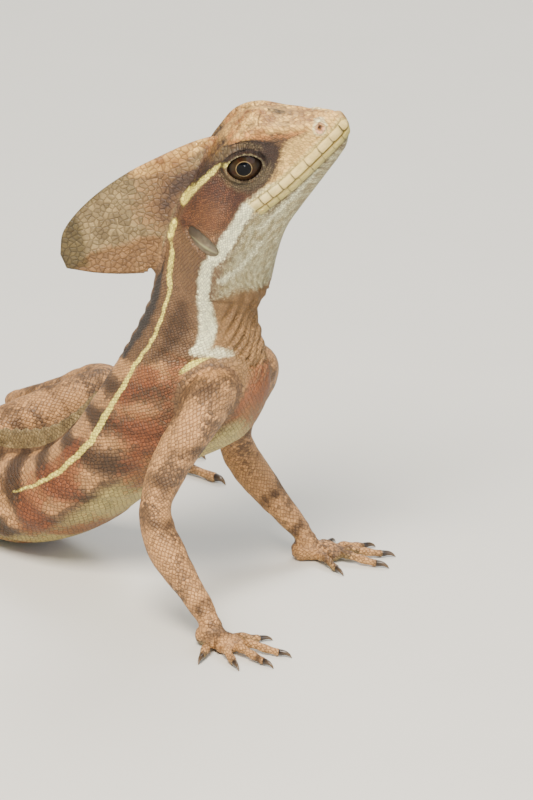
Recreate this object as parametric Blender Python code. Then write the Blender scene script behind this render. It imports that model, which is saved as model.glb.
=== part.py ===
"""Common basilisk (Basiliscus basiliscus), a young adult male, life size.

The animal stands on its hands with the head raised and turned to its left, and rests its
belly, hind feet and tail on the floor.  Its left side is +Y and its nose points to +X.

The body is first laid out in one upright plane, with h forward and z up, in millimetres.
A net of nine lines runs along it from the snout to the tip of the tail.  The plane is
then turned station by station, by a yaw and a roll, which bends the animal sideways.
The head is drawn in its own frame, f forward along the mouth and u up, from the tip of
the snout.  Everything becomes metres at the end.
"""
import math
from dataclasses import dataclass

import bmesh
import bpy
import numpy as np
from mathutils import Matrix

# General sizes in millimetres
TO_METRES = 0.001
GAP = 0.3
FLOOR_BITE = 0.45

# The head's frame: where the tip of the snout is, and how far the nose points up
SNOUT_TIP = (120.4, 124.1)
HEAD_PITCH = math.radians(36.0)
HEAD_YAW = 50.0
HEAD_ROLL = 7.5
ROLL_PIVOT = (87.0, 66.0)

# Eye: an ellipsoid that is flatter across the head than along it
EYE_CENTRE = (-24.9, 8.0, 7.1)
EYE_RADIUS = 4.9
EYE_DEPTH = 3.5
LID_OPENING = (3.75, 2.85)
LID_TILT = math.radians(42.0)
LID_RIM = 0.55

# Ear, nostril and mouth
EAR_CENTRE = (-43.7, -1.1, 12.4)
EAR_HALF = (2.2, 4.6, 1.9)
EAR_LEAN = math.radians(-6.0)
EARDRUM_DEPTH = 1.1
NOSTRIL = (-5.3, 3.2, 4.2)
NOSTRIL_RADIUS = 0.55
MOUTH_CORNER = (-29.0, -2.1)
JAW_ANGLE = (-38.5, -12.0)
JAW_HINGE_FOOT = (-35.5, -24.0)

# Tail
TAIL_LENGTH = 500.0

# Crest on the head
HEAD_CREST_THICK = (7.6, 1.1)

# Arms and legs, as joints in the upright plane of the shoulders or of the hips
SHOULDER = (93.4, 12.0, 56.4)
ELBOW = (84.7, 26.0, 29.5)
WRIST = (100.5, 31.0, 6.4)
HAND_YAW = 22.0
HIP = (-3.0, 6.5, 13.5)
KNEE = {"left": (2.0, 44.0, 24.0), "right": (19.0, 37.0, 25.0)}
ANKLE = {"left": (-41.0, 49.0, 6.6), "right": (-17.0, 60.0, 6.6)}
FOOT_YAW = {"left": 15.0, "right": 34.0}

SIDES = (("left", 1.0), ("right", -1.0))


@dataclass(frozen=True)
class Finish:
    """Colour and surface of one kind of tissue."""

    colour: tuple
    roughness: float
    metallic: float = 0.0


HEAD_BROWN = Finish((0.36, 0.20, 0.13), 0.62)
JAW_CREAM = Finish((0.62, 0.58, 0.42), 0.60)
CREST_TAN = Finish((0.34, 0.26, 0.17), 0.64)
BODY_BROWN = Finish((0.25, 0.15, 0.10), 0.66)
LIMB_TAN = Finish((0.40, 0.26, 0.18), 0.66)
EYE_DARK = Finish((0.05, 0.03, 0.02), 0.12)
EARDRUM_GREY = Finish((0.24, 0.19, 0.15), 0.45)
TAIL_BROWN = Finish((0.24, 0.17, 0.11), 0.66)


@dataclass(frozen=True)
class HeadStation:
    """One cross-section of the head, in the head's frame."""

    crown: tuple
    brow: tuple
    cheek: float
    lip: float
    mouth_up: float
    jaw: tuple
    throat: tuple


@dataclass(frozen=True)
class TrunkStation:
    """One cross-section of the neck, trunk or tail, in the upright plane."""

    back: tuple
    belly: tuple
    half_width: float
    widest: float
    yaw: float
    roll: float = 0.0


# From the tip of the snout to the last section before the neck
HEAD_STATIONS = (
    HeadStation((-0.5, 1.6), (1.7, 1.2), 2.3, 2.3, -2.0, (1.7, -3.6), (-1.6, -4.3)),
    HeadStation((-2.4, 3.8), (3.0, 2.8), 4.1, 3.9, -2.0, (3.0, -4.9), (-3.2, -5.5)),
    HeadStation((-5.6, 5.7), (4.5, 4.5), 5.4, 5.4, -2.0, (4.0, -5.9), (-6.0, -6.6)),
    HeadStation((-10.2, 9.5), (6.2, 7.8), 6.7, 7.3, -2.2, (5.1, -7.1), (-10.5, -7.8)),
    HeadStation((-15.2, 14.4), (7.8, 12.1), 8.4, 9.0, -2.5, (6.2, -8.4), (-15.5, -9.2)),
    HeadStation((-20.2, 15.1), (8.3, 13.9), 9.9, 10.4, -2.6, (7.2, -9.7), (-20.5, -10.6)),
    HeadStation((-25.6, 14.8), (7.2, 13.5), 10.5, 11.6, -2.3, (8.2, -11.0), (-25.0, -12.2)),
    HeadStation((-31.6, 13.2), (6.0, 11.6), 11.3, 12.6, -2.0, (8.9, -13.2), (-29.4, -15.0)),
    HeadStation((-38.4, 10.0), (5.4, 8.6), 12.2, 13.2, -3.0, (8.8, -16.6), (-33.6, -18.6)),
    HeadStation((-46.4, 5.6), (5.0, 4.2), 12.3, 13.0, -5.6, (8.2, -20.2), (-37.4, -22.0)),
    HeadStation((-59.6, -5.0), (4.4, -6.4), 9.6, 11.2, -14.6, (7.4, -23.6), (-42.0, -24.6)),
)

# From the neck to the root of the tail
TRUNK_STATIONS = (
    TrunkStation((74.0, 77.5), (99.4, 73.6), 10.4, 0.50, 44.0, 5.0),
    TrunkStation((71.4, 70.8), (101.2, 65.6), 11.4, 0.48, 36.0, 2.5),
    TrunkStation((66.8, 62.2), (103.2, 54.8), 13.8, 0.46, 28.0),
    TrunkStation((62.2, 54.8), (98.6, 44.2), 14.2, 0.46, 23.0),
    TrunkStation((57.2, 47.0), (85.4, 35.0), 13.6, 0.46, 18.0),
    TrunkStation((50.4, 37.6), (70.6, 23.4), 14.2, 0.45, 11.0),
    TrunkStation((40.8, 29.0), (55.6, 11.2), 15.0, 0.43, 5.0),
    TrunkStation((26.8, 23.0), (34.6, 1.8), 14.4, 0.42, 0.0),
    TrunkStation((10.4, 20.6), (12.6, -0.2), 12.0, 0.42, -2.0),
    TrunkStation((-5.0, 19.8), (-5.4, -0.4), 10.6, 0.44, -3.0),
    TrunkStation((-21.0, 16.8), (-21.0, -0.4), 8.4, 0.46, -6.0),
)

# Along the tail: share of its length, height, half width, yaw
TAIL_STATIONS = (
    (0.07, 13.8, 6.2, -13.0),
    (0.16, 11.6, 5.0, -22.0),
    (0.30, 9.2, 3.8, -10.0),
    (0.46, 6.8, 2.8, 18.0),
    (0.62, 4.8, 2.0, 32.0),
    (0.78, 3.2, 1.3, 14.0),
    (0.92, 1.9, 0.8, -16.0),
    (1.00, 1.2, 0.5, -30.0),
)
TAIL_CUTS = (0.24, 0.49, 0.75)


def spline(knots, values, at, tense=False):
    """Return a cubic curve through values, which doesn't overshoot where tense."""
    knots = np.asarray(knots, float)
    values = np.asarray(values, float)
    at = np.clip(np.asarray(at, float), knots[0], knots[-1])
    widths = np.diff(knots)
    shape = (-1,) + (1,) * (values.ndim - 1)
    slopes = np.diff(values, axis=0) / widths.reshape(shape)
    before, after = widths[:-1].reshape(shape), widths[1:].reshape(shape)
    inner = (slopes[:-1] * after + slopes[1:] * before) / (before + after)
    if tense:
        same = slopes[:-1] * slopes[1:] > 0
        total = np.where(same, slopes[:-1] + slopes[1:], 1.0)
        inner = np.where(same, 2 * slopes[:-1] * slopes[1:] / total, 0.0)
    tangents = np.concatenate([slopes[:1], inner, slopes[-1:]])
    if tense:
        tangents[0] = tangents[-1] = 0.0
    piece = np.clip(np.searchsorted(knots, at, side="right") - 1, 0, len(widths) - 1)
    t = ((at - knots[piece]) / widths[piece]).reshape(at.shape + (1,) * (values.ndim - 1))
    width = widths[piece].reshape(t.shape)
    return (
        (2 * t**3 - 3 * t**2 + 1) * values[piece]
        + (t**3 - 2 * t**2 + t) * width * tangents[piece]
        + (3 * t**2 - 2 * t**3) * values[piece + 1]
        + (t**3 - t**2) * width * tangents[piece + 1]
    )


def smoothstep(low, high, value):
    """Return 0 below low, 1 above high and a smooth ramp between them."""
    t = np.clip((value - low) / (high - low), 0.0, 1.0)
    return t * t * (3 - 2 * t)


def head_to_plane(f, side, u):
    """Turn head coordinates into the upright plane's h, side and z."""
    h = SNOUT_TIP[0] + f * math.cos(HEAD_PITCH) - u * math.sin(HEAD_PITCH)
    z = SNOUT_TIP[1] + f * math.sin(HEAD_PITCH) + u * math.cos(HEAD_PITCH)
    return np.stack([h, side + 0 * h, z], axis=-1)


def head_section(station):
    """Return the nine points of one head section, from the crown round to the throat."""
    brow_side, brow_up = station.brow
    jaw_side, jaw_up = station.jaw
    lip_depth = 0.16 * (brow_up - station.mouth_up)
    points = (
        (0.0, station.crown[1]),
        (0.55 * brow_side, 0.5 * (station.crown[1] + brow_up)),
        (brow_side, brow_up),
        (station.cheek, 0.42 * brow_up + 0.58 * station.mouth_up),
        (station.lip, station.mouth_up + lip_depth),
        (station.lip - 0.35, station.mouth_up),
        (0.72 * station.lip + 0.28 * jaw_side, 0.62 * station.mouth_up + 0.38 * jaw_up),
        (jaw_side, jaw_up),
        (0.0, station.throat[1]),
    )
    side, u = np.array(points).T
    share = (station.crown[1] - u) / (station.crown[1] - station.throat[1])
    f = station.crown[0] + share * (station.throat[0] - station.crown[0])
    return head_to_plane(f, side, u)


def oval_section(back, belly, half_width, widest):
    """Return the nine points of an oval section, from the back round to the belly."""
    turn = np.linspace(0.0, math.pi, 9)
    back, belly = np.array(back), np.array(belly)
    centre = belly + widest * (back - belly)
    rise = np.cos(turn)[:, None]
    middle = centre + np.where(rise > 0, rise * (back - centre), -rise * (belly - centre))
    return np.stack([middle[:, 0], half_width * np.sin(turn), middle[:, 1]], axis=-1)


class Body:
    """The net of nine lines from snout to tail, and the bending of its plane."""

    def __init__(self):
        trunk = [oval_section(s.back, s.belly, s.half_width, s.widest) for s in TRUNK_STATIONS]
        root = TRUNK_STATIONS[-1].back[0]
        tail = []
        for share, height, half_width, _ in TAIL_STATIONS:
            h = root - share * TAIL_LENGTH
            tail.append(oval_section((h, height - FLOOR_BITE), (h, -FLOOR_BITE), half_width, 0.45))
        self.net = np.array([head_section(s) for s in HEAD_STATIONS] + trunk + tail)
        steps = np.linalg.norm(np.diff(self.net, axis=0), axis=2).mean(axis=1)
        self.knots = np.concatenate([[0.0], np.cumsum(steps)])
        count = len(HEAD_STATIONS)
        self.head_end = self.knots[count - 1]
        self.neck_end = self.knots[count + 2] - 1.0
        self.shoulder = self.knots[count + 2]
        self.hip = self.knots[count + 9]
        self.tail_start = self.knots[count + 10]
        yaws = [HEAD_YAW] * count + [s.yaw for s in TRUNK_STATIONS] + [t[3] for t in TAIL_STATIONS]
        rolls = [HEAD_ROLL] * count + [s.roll for s in TRUNK_STATIONS] + [0.0] * len(TAIL_STATIONS)
        self.yaws, self.rolls = np.radians(yaws), np.radians(rolls)
        self.fine = np.linspace(self.knots[-1], 0.0, 3000)
        middle = spline(self.knots, self.net.mean(axis=1), self.fine)
        self.middle_h = middle[:, 0]
        yaw = spline(self.knots, self.yaws, self.fine, tense=True)
        step = np.diff(self.middle_h)
        turn = 0.5 * (yaw[1:] + yaw[:-1])
        self.path_x = np.concatenate([[0.0], np.cumsum(step * np.cos(turn))])
        self.path_y = np.concatenate([[0.0], np.cumsum(step * np.sin(turn))])
        at_hip = np.interp(self.hip, self.fine[::-1], np.arange(len(self.fine))[::-1])
        self.path_x -= self.path_x[int(at_hip)]
        self.path_y -= self.path_y[int(at_hip)]

    def share_of_tail(self, share):
        """Return the place along the body at a share of the tail's length."""
        shares = [0.0] + [t[0] for t in TAIL_STATIONS]
        return float(np.interp(share, shares, self.knots[-len(shares):]))

    def place(self, points, at):
        """Bend points of the upright plane into the animal's pose."""
        points = np.asarray(points, float)
        at = np.broadcast_to(np.asarray(at, float), points.shape[:-1])
        roll = spline(self.knots, self.rolls, at.ravel(), tense=True).reshape(at.shape)
        yaw = spline(self.knots, self.yaws, at.ravel(), tense=True).reshape(at.shape)
        ahead = math.cos(HEAD_PITCH), math.sin(HEAD_PITCH)
        h, side, z = points[..., 0] - ROLL_PIVOT[0], points[..., 1], points[..., 2] - ROLL_PIVOT[1]
        along = h * ahead[0] + z * ahead[1]
        above = -h * ahead[1] + z * ahead[0]
        side, above = (side * np.cos(roll) - above * np.sin(roll),
                       side * np.sin(roll) + above * np.cos(roll))
        h = ROLL_PIVOT[0] + along * ahead[0] - above * ahead[1]
        z = ROLL_PIVOT[1] + along * ahead[1] + above * ahead[0]
        order = self.fine[::-1]
        h = h - np.interp(at, order, self.middle_h[::-1])
        x = np.interp(at, order, self.path_x[::-1]) + h * np.cos(yaw) - side * np.sin(yaw)
        y = np.interp(at, order, self.path_y[::-1]) + h * np.sin(yaw) + side * np.cos(yaw)
        return np.stack([x, y, z], axis=-1)

    def rings(self, at, segments):
        """Return the sections at places along the body, as closed rings in the plane."""
        lines = spline(self.knots, self.net, at)
        mirror = np.array([1.0, -1.0, 1.0])
        closed = np.concatenate([lines[:, 1:2] * mirror, lines, lines[:, -2:-1] * mirror], axis=1)
        tangents = 0.5 * (closed[:, 2:] - closed[:, :-2])
        half = []
        for index, count in enumerate(segments):
            t = np.arange(count)[None, :, None] / count
            a, b = lines[:, index, None], lines[:, index + 1, None]
            ta, tb = tangents[:, index, None], tangents[:, index + 1, None]
            half.append((2 * t**3 - 3 * t**2 + 1) * a + (t**3 - 2 * t**2 + t) * ta
                        + (3 * t**2 - 2 * t**3) * b + (t**3 - t**2) * tb)
        half = np.concatenate(half + [lines[:, -1:]], axis=1)
        other = half[:, -2:0:-1] * mirror
        return np.concatenate([half, other], axis=1)


BODY = Body()


def new_object(name, vertices, faces):
    """Make a mesh object with its faces turned outwards."""
    mesh = bpy.data.meshes.new(name)
    mesh.from_pydata([tuple(map(float, v)) for v in vertices], [], faces)
    work = bmesh.new()
    work.from_mesh(mesh)
    bmesh.ops.recalc_face_normals(work, faces=work.faces)
    work.to_mesh(mesh)
    work.free()
    thing = bpy.data.objects.new(name, mesh)
    bpy.context.scene.collection.objects.link(thing)
    return thing


def loft(name, rings):
    """Skin a stack of closed rings and close both ends with a fan."""
    rings = np.asarray(rings, float)
    count, around = rings.shape[:2]
    vertices = list(rings.reshape(-1, 3)) + [rings[0].mean(axis=0), rings[-1].mean(axis=0)]
    faces = []
    for row in range(count - 1):
        for column in range(around):
            after = (column + 1) % around
            a, b = row * around + column, row * around + after
            faces.append((a, b, b + around, a + around))
    first, last, end = count * around, count * around + 1, (count - 1) * around
    for column in range(around):
        after = (column + 1) % around
        faces.append((first, after, column))
        faces.append((last, end + column, end + after))
    return new_object(name, vertices, faces)


def guide(knots, points, at, anchor):
    """Return places on a smooth curve through points, bent into the pose, and its directions."""
    step = 0.05
    low = np.clip(np.asarray(at, float) - step, knots[0], knots[-1])
    high = np.clip(np.asarray(at, float) + step, knots[0], knots[-1])
    before = BODY.place(spline(knots, points, low), anchor)
    after = BODY.place(spline(knots, points, high), anchor)
    ahead = after - before
    ahead /= np.linalg.norm(ahead, axis=1)[:, None]
    return BODY.place(spline(knots, points, at), anchor), ahead


def tube(name, guided, widths, heights, up, around):
    """Carry an ellipse along a guide, its height as near to up as the guide allows."""
    path, tangents = guided
    side = np.cross(np.asarray(up, float), tangents)
    side /= np.linalg.norm(side, axis=1)[:, None]
    lift = np.cross(tangents, side)
    turn = np.linspace(0.0, 2 * math.pi, around, endpoint=False) + math.pi / around
    rings = (path[:, None]
             + np.cos(turn)[None, :, None] * (side * np.asarray(widths)[:, None])[:, None]
             + np.sin(turn)[None, :, None] * (lift * np.asarray(heights)[:, None])[:, None])
    return loft(name, rings)


def ellipsoid(name, centre, axes, radii, segments, levels):
    """Make an ellipsoid with its own three axes, which are unit vectors."""
    turn = np.linspace(0.0, 2 * math.pi, segments, endpoint=False)
    tilt = np.linspace(0.0, math.pi, levels + 1)[1:-1]
    unit = np.stack([np.sin(tilt)[:, None] * np.cos(turn), np.sin(tilt)[:, None] * np.sin(turn),
                     np.cos(tilt)[:, None] + 0 * turn], axis=-1)
    unit = np.concatenate([unit.reshape(-1, 3), [[0, 0, 1.0], [0, 0, -1.0]]])
    vertices = np.asarray(centre) + (unit * np.asarray(radii)) @ np.asarray(axes)
    faces = []
    rows = levels - 1
    for row in range(rows - 1):
        for column in range(segments):
            after = (column + 1) % segments
            a, b = row * segments + column, row * segments + after
            faces.append((a, b, b + segments, a + segments))
    for column in range(segments):
        after = (column + 1) % segments
        faces.append((rows * segments, after, column))
        last = (rows - 1) * segments
        faces.append((rows * segments + 1, last + column, last + after))
    return new_object(name, vertices, faces)


def remove(things):
    """Delete objects that have done their work."""
    for thing in things:
        bpy.data.objects.remove(thing)


def apply_boolean(target, operation, tools, solver="EXACT"):
    """Join or cut target with a collection of tools, then delete the tools."""
    group = bpy.data.collections.new("tools")
    bpy.context.scene.collection.children.link(group)
    for tool in tools:
        group.objects.link(tool)
    modifier = target.modifiers.new("boolean", "BOOLEAN")
    modifier.operation = operation
    modifier.operand_type = "COLLECTION"
    modifier.collection = group
    modifier.solver = solver
    settled = target.evaluated_get(bpy.context.evaluated_depsgraph_get())
    mesh = bpy.data.meshes.new_from_object(settled)
    target.modifiers.clear()
    old, target.data = target.data, mesh
    bpy.data.meshes.remove(old)
    remove(tools)
    bpy.data.collections.remove(group)
    keep_largest(target)


def keep_largest(thing):
    """Keep only the largest closed surface of a mesh and tidy its slivers."""
    work = bmesh.new()
    work.from_mesh(thing.data)
    bmesh.ops.dissolve_degenerate(work, edges=work.edges, dist=0.0005)
    bmesh.ops.holes_fill(work, edges=[edge for edge in work.edges if edge.is_boundary])
    seen, parts = set(), []
    for start in work.faces:
        if start in seen:
            continue
        part, stack = [], [start]
        seen.add(start)
        while stack:
            face = stack.pop()
            part.append(face)
            for edge in face.edges:
                for other in edge.link_faces:
                    if other not in seen:
                        seen.add(other)
                        stack.append(other)
        parts.append(part)
    parts.sort(key=lambda part: sum(face.calc_area() for face in part))
    for part in parts[:-1]:
        bmesh.ops.delete(work, geom=part, context="FACES")
    loose = [v for v in work.verts if not v.link_faces]
    bmesh.ops.delete(work, geom=loose, context="VERTS")
    work.to_mesh(thing.data)
    work.free()


def slab(name, centre, axes, half_sizes):
    """Make a block with its own three axes, which are unit vectors."""
    signs = np.array([(x, y, z) for x in (-1, 1) for y in (-1, 1) for z in (-1, 1)], float)
    vertices = np.asarray(centre) + (signs * np.asarray(half_sizes)) @ np.asarray(axes)
    faces = [(0, 1, 3, 2), (4, 6, 7, 5), (0, 4, 5, 1), (2, 3, 7, 6), (0, 2, 6, 4), (1, 5, 7, 3)]
    return new_object(name, vertices, faces)


def cut_flat(thing):
    """Cut away what lies below the floor, as the floor flattens a sole."""
    block = slab("floor", (0.0, 0.0, -20.0), np.eye(3), (900.0, 900.0, 20.0))
    apply_boolean(thing, "DIFFERENCE", [block])


def finish(thing, look, sharp_angle=50.0):
    """Give a node its material and smooth shading."""
    material = bpy.data.materials.new(thing.name)
    material.use_nodes = True
    shader = material.node_tree.nodes["Principled BSDF"]
    shader.inputs["Base Color"].default_value = (*look.colour, 1.0)
    shader.inputs["Roughness"].default_value = look.roughness
    shader.inputs["Metallic"].default_value = look.metallic
    thing.data.materials.clear()
    thing.data.materials.append(material)
    thing.data.shade_smooth()
    thing.data.set_sharp_from_angle(angle=math.radians(sharp_angle))


TRUNK_SEGMENTS = (2, 2, 2, 2, 2, 2, 2, 2)
TAIL_SEGMENTS = (1, 1, 1, 1, 1, 1, 1, 1)
HEAD_SEGMENTS = (2, 2, 4, 4, 2, 2, 2, 2)


def body_length(name, start, end, count, segments, swell=0.0):
    """Make one length of the body between two places along it."""
    at = np.linspace(start, end, count)
    rings = BODY.rings(at, segments)
    placed = BODY.place(rings, at[:, None])
    if swell:
        middle = placed.mean(axis=1, keepdims=True)
        out = placed - middle
        placed = middle + out * (1 + swell / np.linalg.norm(out, axis=2, keepdims=True))
    return loft(name, placed)


def head_point(f, side, u):
    """Return a point of the head's frame in the animal's pose."""
    return BODY.place(head_to_plane(np.float64(f), side, np.float64(u)), 0.0)


def head_axes(lean, side):
    """Return three unit vectors: along the leaning opening, across it, and outwards."""
    origin = head_point(0, 0, 0)
    f = head_point(math.cos(lean), 0, math.sin(lean)) - origin
    u = head_point(-math.sin(lean), 0, math.cos(lean)) - origin
    out = head_point(0, side, 0) - origin
    return np.array([f, u, out])


def make_head():
    """Make the whole head with its sockets, lids, nostrils and ear cups, then part the jaw."""
    at = np.concatenate([
        np.linspace(0.0, BODY.knots[4], 10)[:-1],
        np.linspace(BODY.knots[4], BODY.knots[7], 16)[:-1],
        np.linspace(BODY.knots[7], BODY.head_end - GAP / 2, 10),
    ])
    rings = BODY.rings(at, HEAD_SEGMENTS)
    rings = shape_orbits(rings)
    placed = BODY.place(rings, at[:, None])
    head = loft("head", placed)
    lids = []
    for _, side in SIDES:
        lids.append(lid_rim(side))
    apply_boolean(head, "UNION", lids)
    cutters = []
    for _, side in SIDES:
        axes = head_axes(0.0, side)
        centre = head_point(EYE_CENTRE[0], side * EYE_CENTRE[2], EYE_CENTRE[1])
        radii = (EYE_RADIUS + GAP, EYE_RADIUS + GAP, EYE_DEPTH + GAP)
        cutters.append(ellipsoid("socket", centre, axes, radii, 16, 8))
        axes = head_axes(EAR_LEAN, side)
        centre = head_point(EAR_CENTRE[0], side * EAR_CENTRE[2], EAR_CENTRE[1])
        cutters.append(ellipsoid("ear_cup", centre, axes, EAR_HALF, 16, 8))
        axes = head_axes(0.0, side)
        centre = head_point(NOSTRIL[0], side * NOSTRIL[2], NOSTRIL[1])
        pit = (NOSTRIL_RADIUS, NOSTRIL_RADIUS, 3 * NOSTRIL_RADIUS)
        cutters.append(ellipsoid("nostril", centre, axes, pit, 8, 6))
    apply_boolean(head, "DIFFERENCE", cutters)
    return head


def plane_to_head(points):
    """Turn points of the upright plane into head coordinates f, side, u."""
    h, z = points[..., 0] - SNOUT_TIP[0], points[..., 2] - SNOUT_TIP[1]
    f = h * math.cos(HEAD_PITCH) + z * math.sin(HEAD_PITCH)
    u = -h * math.sin(HEAD_PITCH) + z * math.cos(HEAD_PITCH)
    return f, points[..., 1], u


def lid_measure(f, u):
    """Return 1 on the margin of the lids, less inside their opening and more outside."""
    df, du = f - EYE_CENTRE[0], u - EYE_CENTRE[1]
    long = -df * math.cos(LID_TILT) + du * math.sin(LID_TILT)
    short = df * math.sin(LID_TILT) + du * math.cos(LID_TILT)
    return np.hypot(long / LID_OPENING[0], short / LID_OPENING[1])


def eye_cover(f, u, extra):
    """Return how far from the midline the eyeball, grown by extra, reaches at a point."""
    reach = np.hypot(f - EYE_CENTRE[0], u - EYE_CENTRE[1]) / (EYE_RADIUS + extra)
    rise = np.sqrt(np.clip(1 - reach**2, 0.0, 1.0))
    return EYE_CENTRE[2] + (EYE_DEPTH + extra) * rise


def shape_orbits(rings):
    """Draw the skin over each eyeball as lids, and sink it where they open."""
    f, side, u = plane_to_head(rings)
    measure = lid_measure(f, u)
    outward = np.abs(side)
    faces_out = outward > 6.0
    lid = eye_cover(f, u, 0.9)
    cover = 1 - smoothstep(1.2, 2.1, measure)
    shaped = outward + cover * (np.maximum(lid, outward - 0.9) - outward)
    sunk = eye_cover(f, u, -0.7)
    open_share = 1 - smoothstep(0.72, 1.12, measure)
    shaped = shaped + open_share * (sunk - shaped)
    outward = np.where(faces_out, shaped, outward)
    moved = rings.copy()
    moved[..., 1] = np.sign(side) * outward
    return moved


def lid_rim(side):
    """Make the thickened margin of the lids, a ring that hugs the eyeball."""
    turn = np.linspace(0.0, 2 * math.pi, 16, endpoint=False)
    section = np.linspace(0.0, 2 * math.pi, 5, endpoint=False)
    rings = []
    for angle in turn:
        ring = []
        for around in section:
            scale = 1 + LID_RIM / LID_OPENING[1] * math.cos(around)
            long = LID_OPENING[0] * scale * math.cos(angle)
            short = LID_OPENING[1] * scale * math.sin(angle)
            f = EYE_CENTRE[0] - long * math.cos(LID_TILT) + short * math.sin(LID_TILT)
            u = EYE_CENTRE[1] + long * math.sin(LID_TILT) + short * math.cos(LID_TILT)
            out = eye_cover(f, u, GAP + LID_RIM * 0.7) + LID_RIM * math.sin(around)
            ring.append(head_point(f, side * out, u))
        rings.append(ring)
    rings = np.array(rings)
    count, around = rings.shape[:2]
    faces = []
    for row in range(count):
        for column in range(around):
            a, b = row * around + column, row * around + (column + 1) % around
            c, d = (row + 1) % count * around + column, (row + 1) % count * around + (column + 1) % around
            faces.append((a, b, d, c))
    return new_object("lid_rim", rings.reshape(-1, 3), faces)


def prism(name, outline, half_depth):
    """Extrude an outline of the head's side view across the whole head."""
    left = [head_point(f, half_depth, u) for f, u in outline]
    right = [head_point(f, -half_depth, u) for f, u in outline]
    count = len(outline)
    faces = [tuple(range(count)), tuple(range(2 * count - 1, count - 1, -1))]
    for i in range(count):
        j = (i + 1) % count
        faces.append((i, i + count, j + count, j))
    return new_object(name, left + right, faces)


def jaw_outline(grow):
    """Return the side view of the space that the lower jaw takes, grown upwards and back."""
    top = [(8.0, -2.0 + grow), (-4.0, -2.0 + grow), (-12.0, -2.35 + grow), (-20.0, -2.6 + grow)]
    corner = [(MOUTH_CORNER[0] - grow, MOUTH_CORNER[1] + grow)]
    back = [(JAW_ANGLE[0] - grow, JAW_ANGLE[1]), (JAW_HINGE_FOOT[0] - grow, JAW_HINGE_FOOT[1])]
    below = [(-34.0, -34.0), (8.0, -34.0)]
    return top + corner + back + below


def make_lower_jaw(head):
    """Part the head along the mouth into the skull and the lower jaw."""
    jaw = head.copy()
    jaw.data = head.data.copy()
    jaw.name = "lower_jaw"
    bpy.context.scene.collection.objects.link(jaw)
    apply_boolean(jaw, "INTERSECT", [prism("below", jaw_outline(0.0), 30.0)])
    apply_boolean(head, "DIFFERENCE", [prism("above", jaw_outline(GAP), 30.0)])
    return jaw


def make_eye(name, side):
    """Make an eyeball."""
    centre = head_point(EYE_CENTRE[0], side * EYE_CENTRE[2], EYE_CENTRE[1])
    radii = (EYE_RADIUS, EYE_RADIUS, EYE_DEPTH)
    return ellipsoid(name, centre, head_axes(0.0, side), radii, 16, 8)


def make_ear(name, side):
    """Make an eardrum, which lies at the bottom of the ear's cup."""
    centre = head_point(EAR_CENTRE[0], side * EAR_CENTRE[2], EAR_CENTRE[1])
    axes = head_axes(EAR_LEAN, side)
    radii = tuple(half - GAP for half in EAR_HALF)
    drum = ellipsoid(name, centre, axes, radii, 14, 8)
    block = slab("outside", centre + axes[2] * (5.6 - EARDRUM_DEPTH), axes, (8.0, 8.0, 5.0))
    apply_boolean(drum, "DIFFERENCE", [block])
    return drum


# Outline of the head's crest: its upper edge and its foot, both from front to back
CREST_TOP = ((-27.0, 15.0), (-33.3, 17.2), (-41.2, 18.8), (-49.5, 20.0), (-58.1, 20.1),
             (-66.1, 19.0), (-71.6, 16.8), (-75.4, 12.6))
CREST_FOOT = ((-29.0, 11.0), (-34.0, 9.6), (-41.0, 5.0), (-49.5, -0.6), (-57.0, -5.6),
              (-63.6, -3.0), (-70.8, 2.6), (-76.4, 8.6))


def make_head_crest(columns=22, rows=6):
    """Make the upright fin on the back of the head, thick at its foot and thin at its rim."""
    knots = np.linspace(0.0, 1.0, len(CREST_TOP))
    along = np.linspace(0.0, 1.0, columns)
    top = spline(knots, CREST_TOP, along)
    foot = spline(knots, CREST_FOOT, along)
    rings = []
    for start, end, share in zip(foot, top, along):
        rise = np.linspace(0.0, 1.0, rows)
        f = start[0] + rise * (end[0] - start[0])
        u = start[1] + rise * (end[1] - start[1])
        free = smoothstep(0.45, 0.8, share)
        base = HEAD_CREST_THICK[0] * (1 - free) + 1.5 * free
        half = 0.5 * (HEAD_CREST_THICK[1] + (base - HEAD_CREST_THICK[1]) * (1 - rise) ** 2.0)
        half[-1] = 0.5 * 0.7
        left = head_to_plane(f, half, u)
        right = head_to_plane(f[::-1], -half[::-1], u[::-1])
        rings.append(BODY.place(np.concatenate([left, right]), 0.0))
    return loft("head_crest", rings)


def fin(name, start, end, rays, height, root_at):
    """Make a thin upright fin along the back, with a ridge for each ray."""
    per_ray = 3
    columns = rays * per_ray + 1
    along = np.linspace(0.0, 1.0, columns)
    at = start + along * (end - start)
    back = spline(BODY.knots, BODY.net[:, 0], at)
    slope = np.gradient(back, axis=0)
    out = np.stack([slope[:, 2], 0 * at, -slope[:, 0]], axis=-1)
    out /= np.linalg.norm(out, axis=1)[:, None]
    lean = np.stack([-slope[:, 0], 0 * at, -slope[:, 2]], axis=-1)
    rows = 3
    rings = []
    for i, share in enumerate(along):
        phase = (i % per_ray) / per_ray
        ridge = 0.5 + 0.5 * math.cos(2 * math.pi * phase)
        tall = height(share) * (0.93 + 0.07 * ridge)
        rise = np.linspace(0.0, 1.0, rows)
        half = 0.5 * (0.95 - 0.3 * rise) + 0.22 * ridge * (1 - 0.5 * rise)
        base = back[i] + out[i] * root_at
        tip = out[i] * tall
        line = base + rise[:, None] * tip
        left, right = line.copy(), line[::-1].copy()
        left[:, 1], right[:, 1] = half, -half[::-1]
        rings.append(BODY.place(np.concatenate([left, right]), at[i]))
    return loft(name, rings)


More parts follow.
